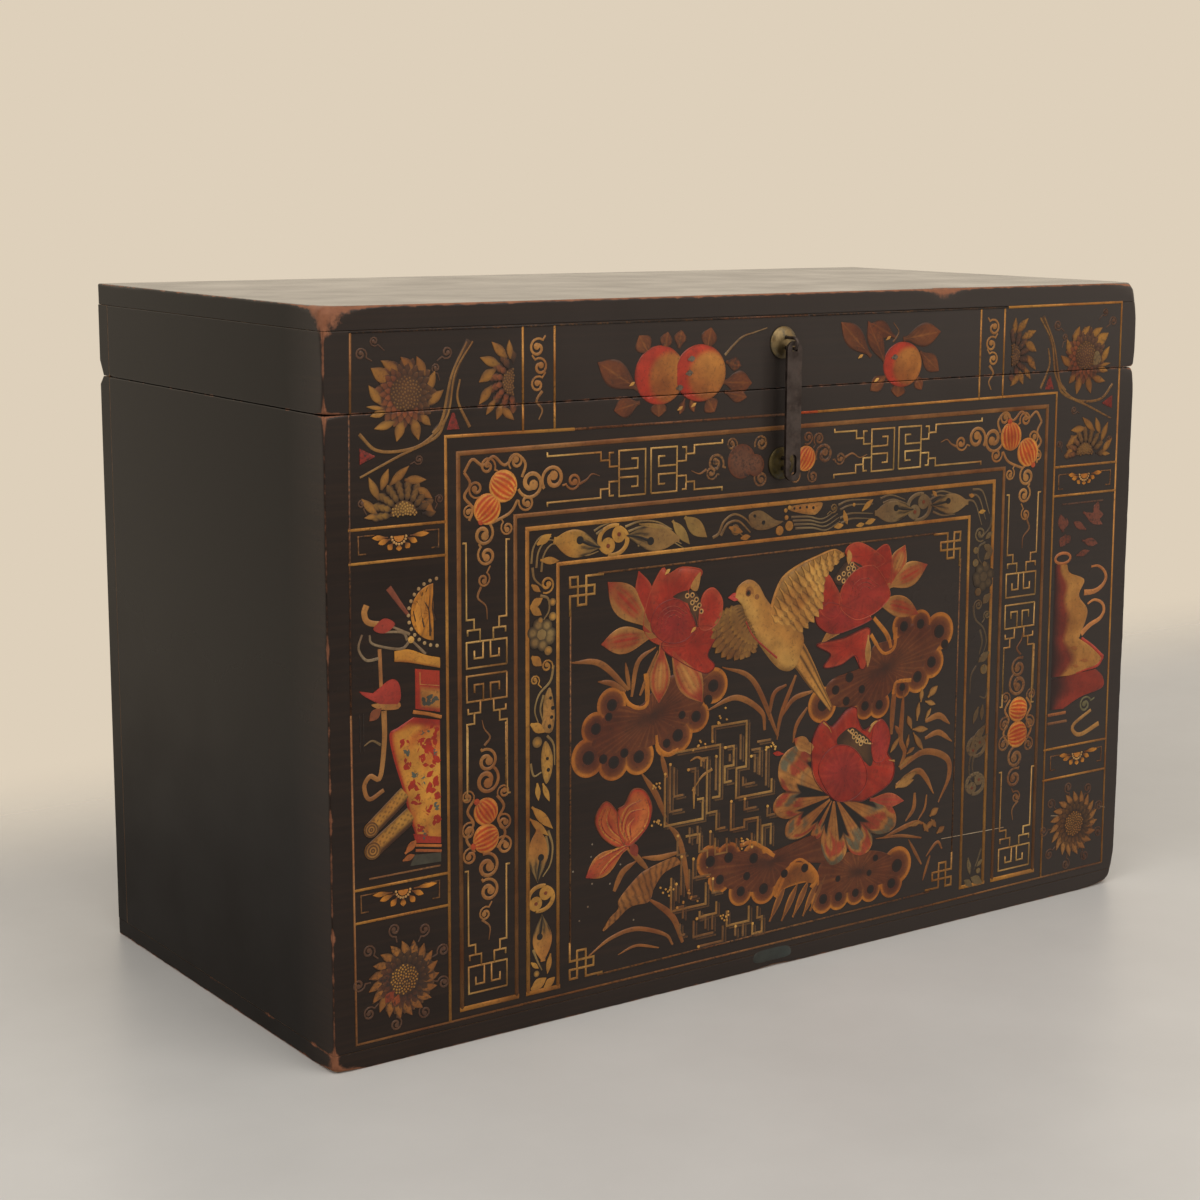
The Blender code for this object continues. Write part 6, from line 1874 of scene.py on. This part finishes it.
column(1, HUSK, DRY_GOLD, 1.0)
column(-1, "#6e5d3e", "#5d4f38", 0.88)
scroll_leaf([(-222, 267), (-228, 258), (-229, 244), (-230, 235), (-221, 232), (-218, 246)], "#b88a48",
            [(-222, 259, 1.4), (-220, 251, 1.7), (-221, 244, 1.5), (-223, 237, 1.7)])
scroll_leaf([(-226, 226), (-220, 214), (-221, 200), (-226, 192), (-230, 204), (-230, 218)], HUSK,
            [(-225, 212, 1.4), (-224, 203, 1.6)])
paisley((-233, 158), (-234, 115), 19, RUST_GOLD)
paisley((-229, 51), (-230, 89), 18, RUST_GOLD)
seed_head((-231, 102), 13)
seed_head((228, 157), 11.5, FAINT_GOLD, 0.85)
seed_head((228, 123), 12, FAINT_GOLD, 0.85)
print("scroll band:", len(scrolls.places), "shapes")

# %% [markdown]
# ## Peaches on the lid
# Two ripe peaches on the left and one on the right, with their leaves, stand either side of the hasp, and
# the seam of the lid runs through them. Each peach is a soft round with a red cheek on its left. Narrow
# columns of curls stand between the peaches and the corner flowers.

# %% Peaches
fruits = Relief()
LEAF_SWELL = 1.15


def peach(centre, wide, high, cheek, lift):
    """An ellipse in 64 steps, red outside a circle that stands off to the right by cheek, paler above."""
    turn = np.linspace(0, 2 * np.pi, 64, endpoint=False)
    outline = np.asarray(centre) + np.stack([wide * np.cos(turn), high * np.sin(turn)], axis=1)

    def paint(r, around):
        x, z = r * np.cos(2 * np.pi * around), r * np.sin(2 * np.pi * around)
        skin = mix("#9c5a26", "#bb7d38", step(0.7 * x + 0.7 * z, -0.7, 0.9))
        away = np.hypot(x - cheek, z + 0.1)
        return mix(mix(skin, "#b5361f", step(away, 0.7, 1.0)), "#5f2c18", 0.5 * step(r, 0.93, 0.99))

    fruits.fan(centre, outline, paint, lift=lift, dome=0.5, steps=14)


def fruit_leaf(u, v):
    """Rust-brown leaf, paler along its veins."""
    vein = step(0.12 - np.abs(v), 0.0, 0.12) + 0.6 * step(np.sin((u - 0.35 * np.abs(v)) * 32), 0.7, 1.0)
    tone = mix(mix("#5c321a", "#7a4420", step(u, 0.2, 0.9)), "#96602e", 0.6 * vein)
    return mix(tone, "#2e1a0e", 0.7 * step(np.abs(v), 0.75, 0.95))


for base, tip, width, hold in (
    ((-141, 490), (-179, 512), 19, 1), ((-140, 480), (-164, 475), 15, 1), ((-131, 516), (-141, 531), 15, 1),
    ((-117, 518), (-114, 533), 11, 0.85), ((-103, 520), (-101, 534), 11, 0.85),
    ((-76, 517), (-72, 535), 14, 1), ((-60, 492), (-31, 490), 17, 1), ((-58, 484), (-36, 479), 11, 0.95),
    ((-57, 508), (-42, 504), 10, 0.8), ((-122, 482), (-122, 468), 14, 0.95),
    ((-76, 481), (-68, 469), 14, 0.95), ((-97, 481), (-102, 469), 6, 1), ((-92, 482), (-88, 470), 6, 1),
    ((94, 506), (61, 535), 17, 0.92), ((110, 499), (90, 535), 15, 0.92), ((120, 521), (94, 533), 13, 0.9),
    ((129, 519), (171, 524), 18, 1), ((148, 508), (170, 491), 14, 0.95), ((112, 490), (94, 478), 12, 1),
    ((143, 489), (151, 476), 10, 0.95), ((126, 484), (124, 471), 15, 1),
):
    fruits.petal(base, tip, LEAF_SWELL * width, fruit_leaf, lift=0.3, hold=hold, belly=0.58, root=0.2)
fruits.stroke([(-58, 513), (-49, 521), (-40, 527), (-28, 530), (-16, 533)], 2.4, "#8d7a55", taper=(1, 0.4))
fruits.stroke([(118, 517), (124, 525), (118, 533)], 2.0, "#7d5a38", taper=(1, 0.4))
peach((-121, 500), 24, 23, 0.42, 0.42)
peach((-82, 500), 25, 22.5, 0.36, 0.62)
peach((129, 498), 21.5, 19, 0.36, 0.42)
for x, z in ((-148, 494), (-102, 473), (-89, 475), (112, 520), (82, 506), (100, 486)):
    fruits.petal((x - 2, z - 1), (x + 3, z + 2), 2.6, BRIGHT_GOLD, lift=0.6)
for x, z, lift in ((-92, 511, 1.3), (-94, 500, 1.3), (-103, 489, 1.0), (119, 504, 1.1)):
    fruits.petal((x - 3, z), (x + 4, z + 1), 5, "#75695c", hold=0.85, lift=lift, dome=0.02)
for side, hold in ((-1, 1.0), (1, 0.93)):
    for x, z, radius, hand in ((233, 525, 7.5, 1), (231, 511, 7, -1), (233, 498, 6.5, 1)):
        leaves = (side * (x - hand * 7), z + 9)
        curl(fruits, (side * x, z), radius, leaves, -side * hand, 1.2, 3.6, "#b08044", hold)
    tail = np.array([(229, 493), (234, 486), (229, 479), (232, 472)]) * (side, 1)
    fruits.stroke(tail, 2.8, "#9a6f3d", hold, taper=(1, 0.4))
print("lid fruit:", len(fruits.places), "shapes")

# %% [markdown]
# ## Cut at the seam and put in place
# The painter worked across the closed seam, and when the lid opens, the picture parts. So each layer that
# crosses it is cut by the seam's two planes: what lies above rides on the lid, what lies below stays with
# the trunk. A cut shape is capped, so that it stays a closed solid.

# %% Build the layers
def cut_at_seam(piece, above):
    """Keeps what lies above or below the seam and caps the cut."""
    bm = bmesh.new()
    bm.from_mesh(piece.data)
    level = LID_FOOT if above else BODY_TOP
    everything = bm.verts[:] + bm.edges[:] + bm.faces[:]
    cut = bmesh.ops.bisect_plane(bm, geom=everything, dist=0.001 * MM, plane_co=(0, 0, level),
                                 plane_no=(0, 0, 1), clear_inner=above, clear_outer=not above)
    bmesh.ops.holes_fill(bm, edges=[part for part in cut["geom_cut"] if isinstance(part, bmesh.types.BMEdge)])
    bm.to_mesh(piece.data)
    bm.free()


for name, relief, finish, spans in (
    ("gold_lines", gold, gold_size, True), ("tendril_band", tendrils, oil_colour, False),
    ("scroll_band", scrolls, oil_colour, False), ("lotus_picture", picture, oil_colour, False),
    ("corner_flowers", corners, oil_colour, True),
    ("antiques", antiques, oil_colour, False), ("peaches", fruits, oil_colour, True),
):
    lower = relief.build(name, finish, "trunk")
    if spans:
        upper = relief.build("lid_" + name, finish, "lid")
        cut_at_seam(lower, above=False)
        cut_at_seam(upper, above=True)
        print(lower.name, len(lower.data.polygons), "faces,", upper.name, len(upper.data.polygons), "faces")
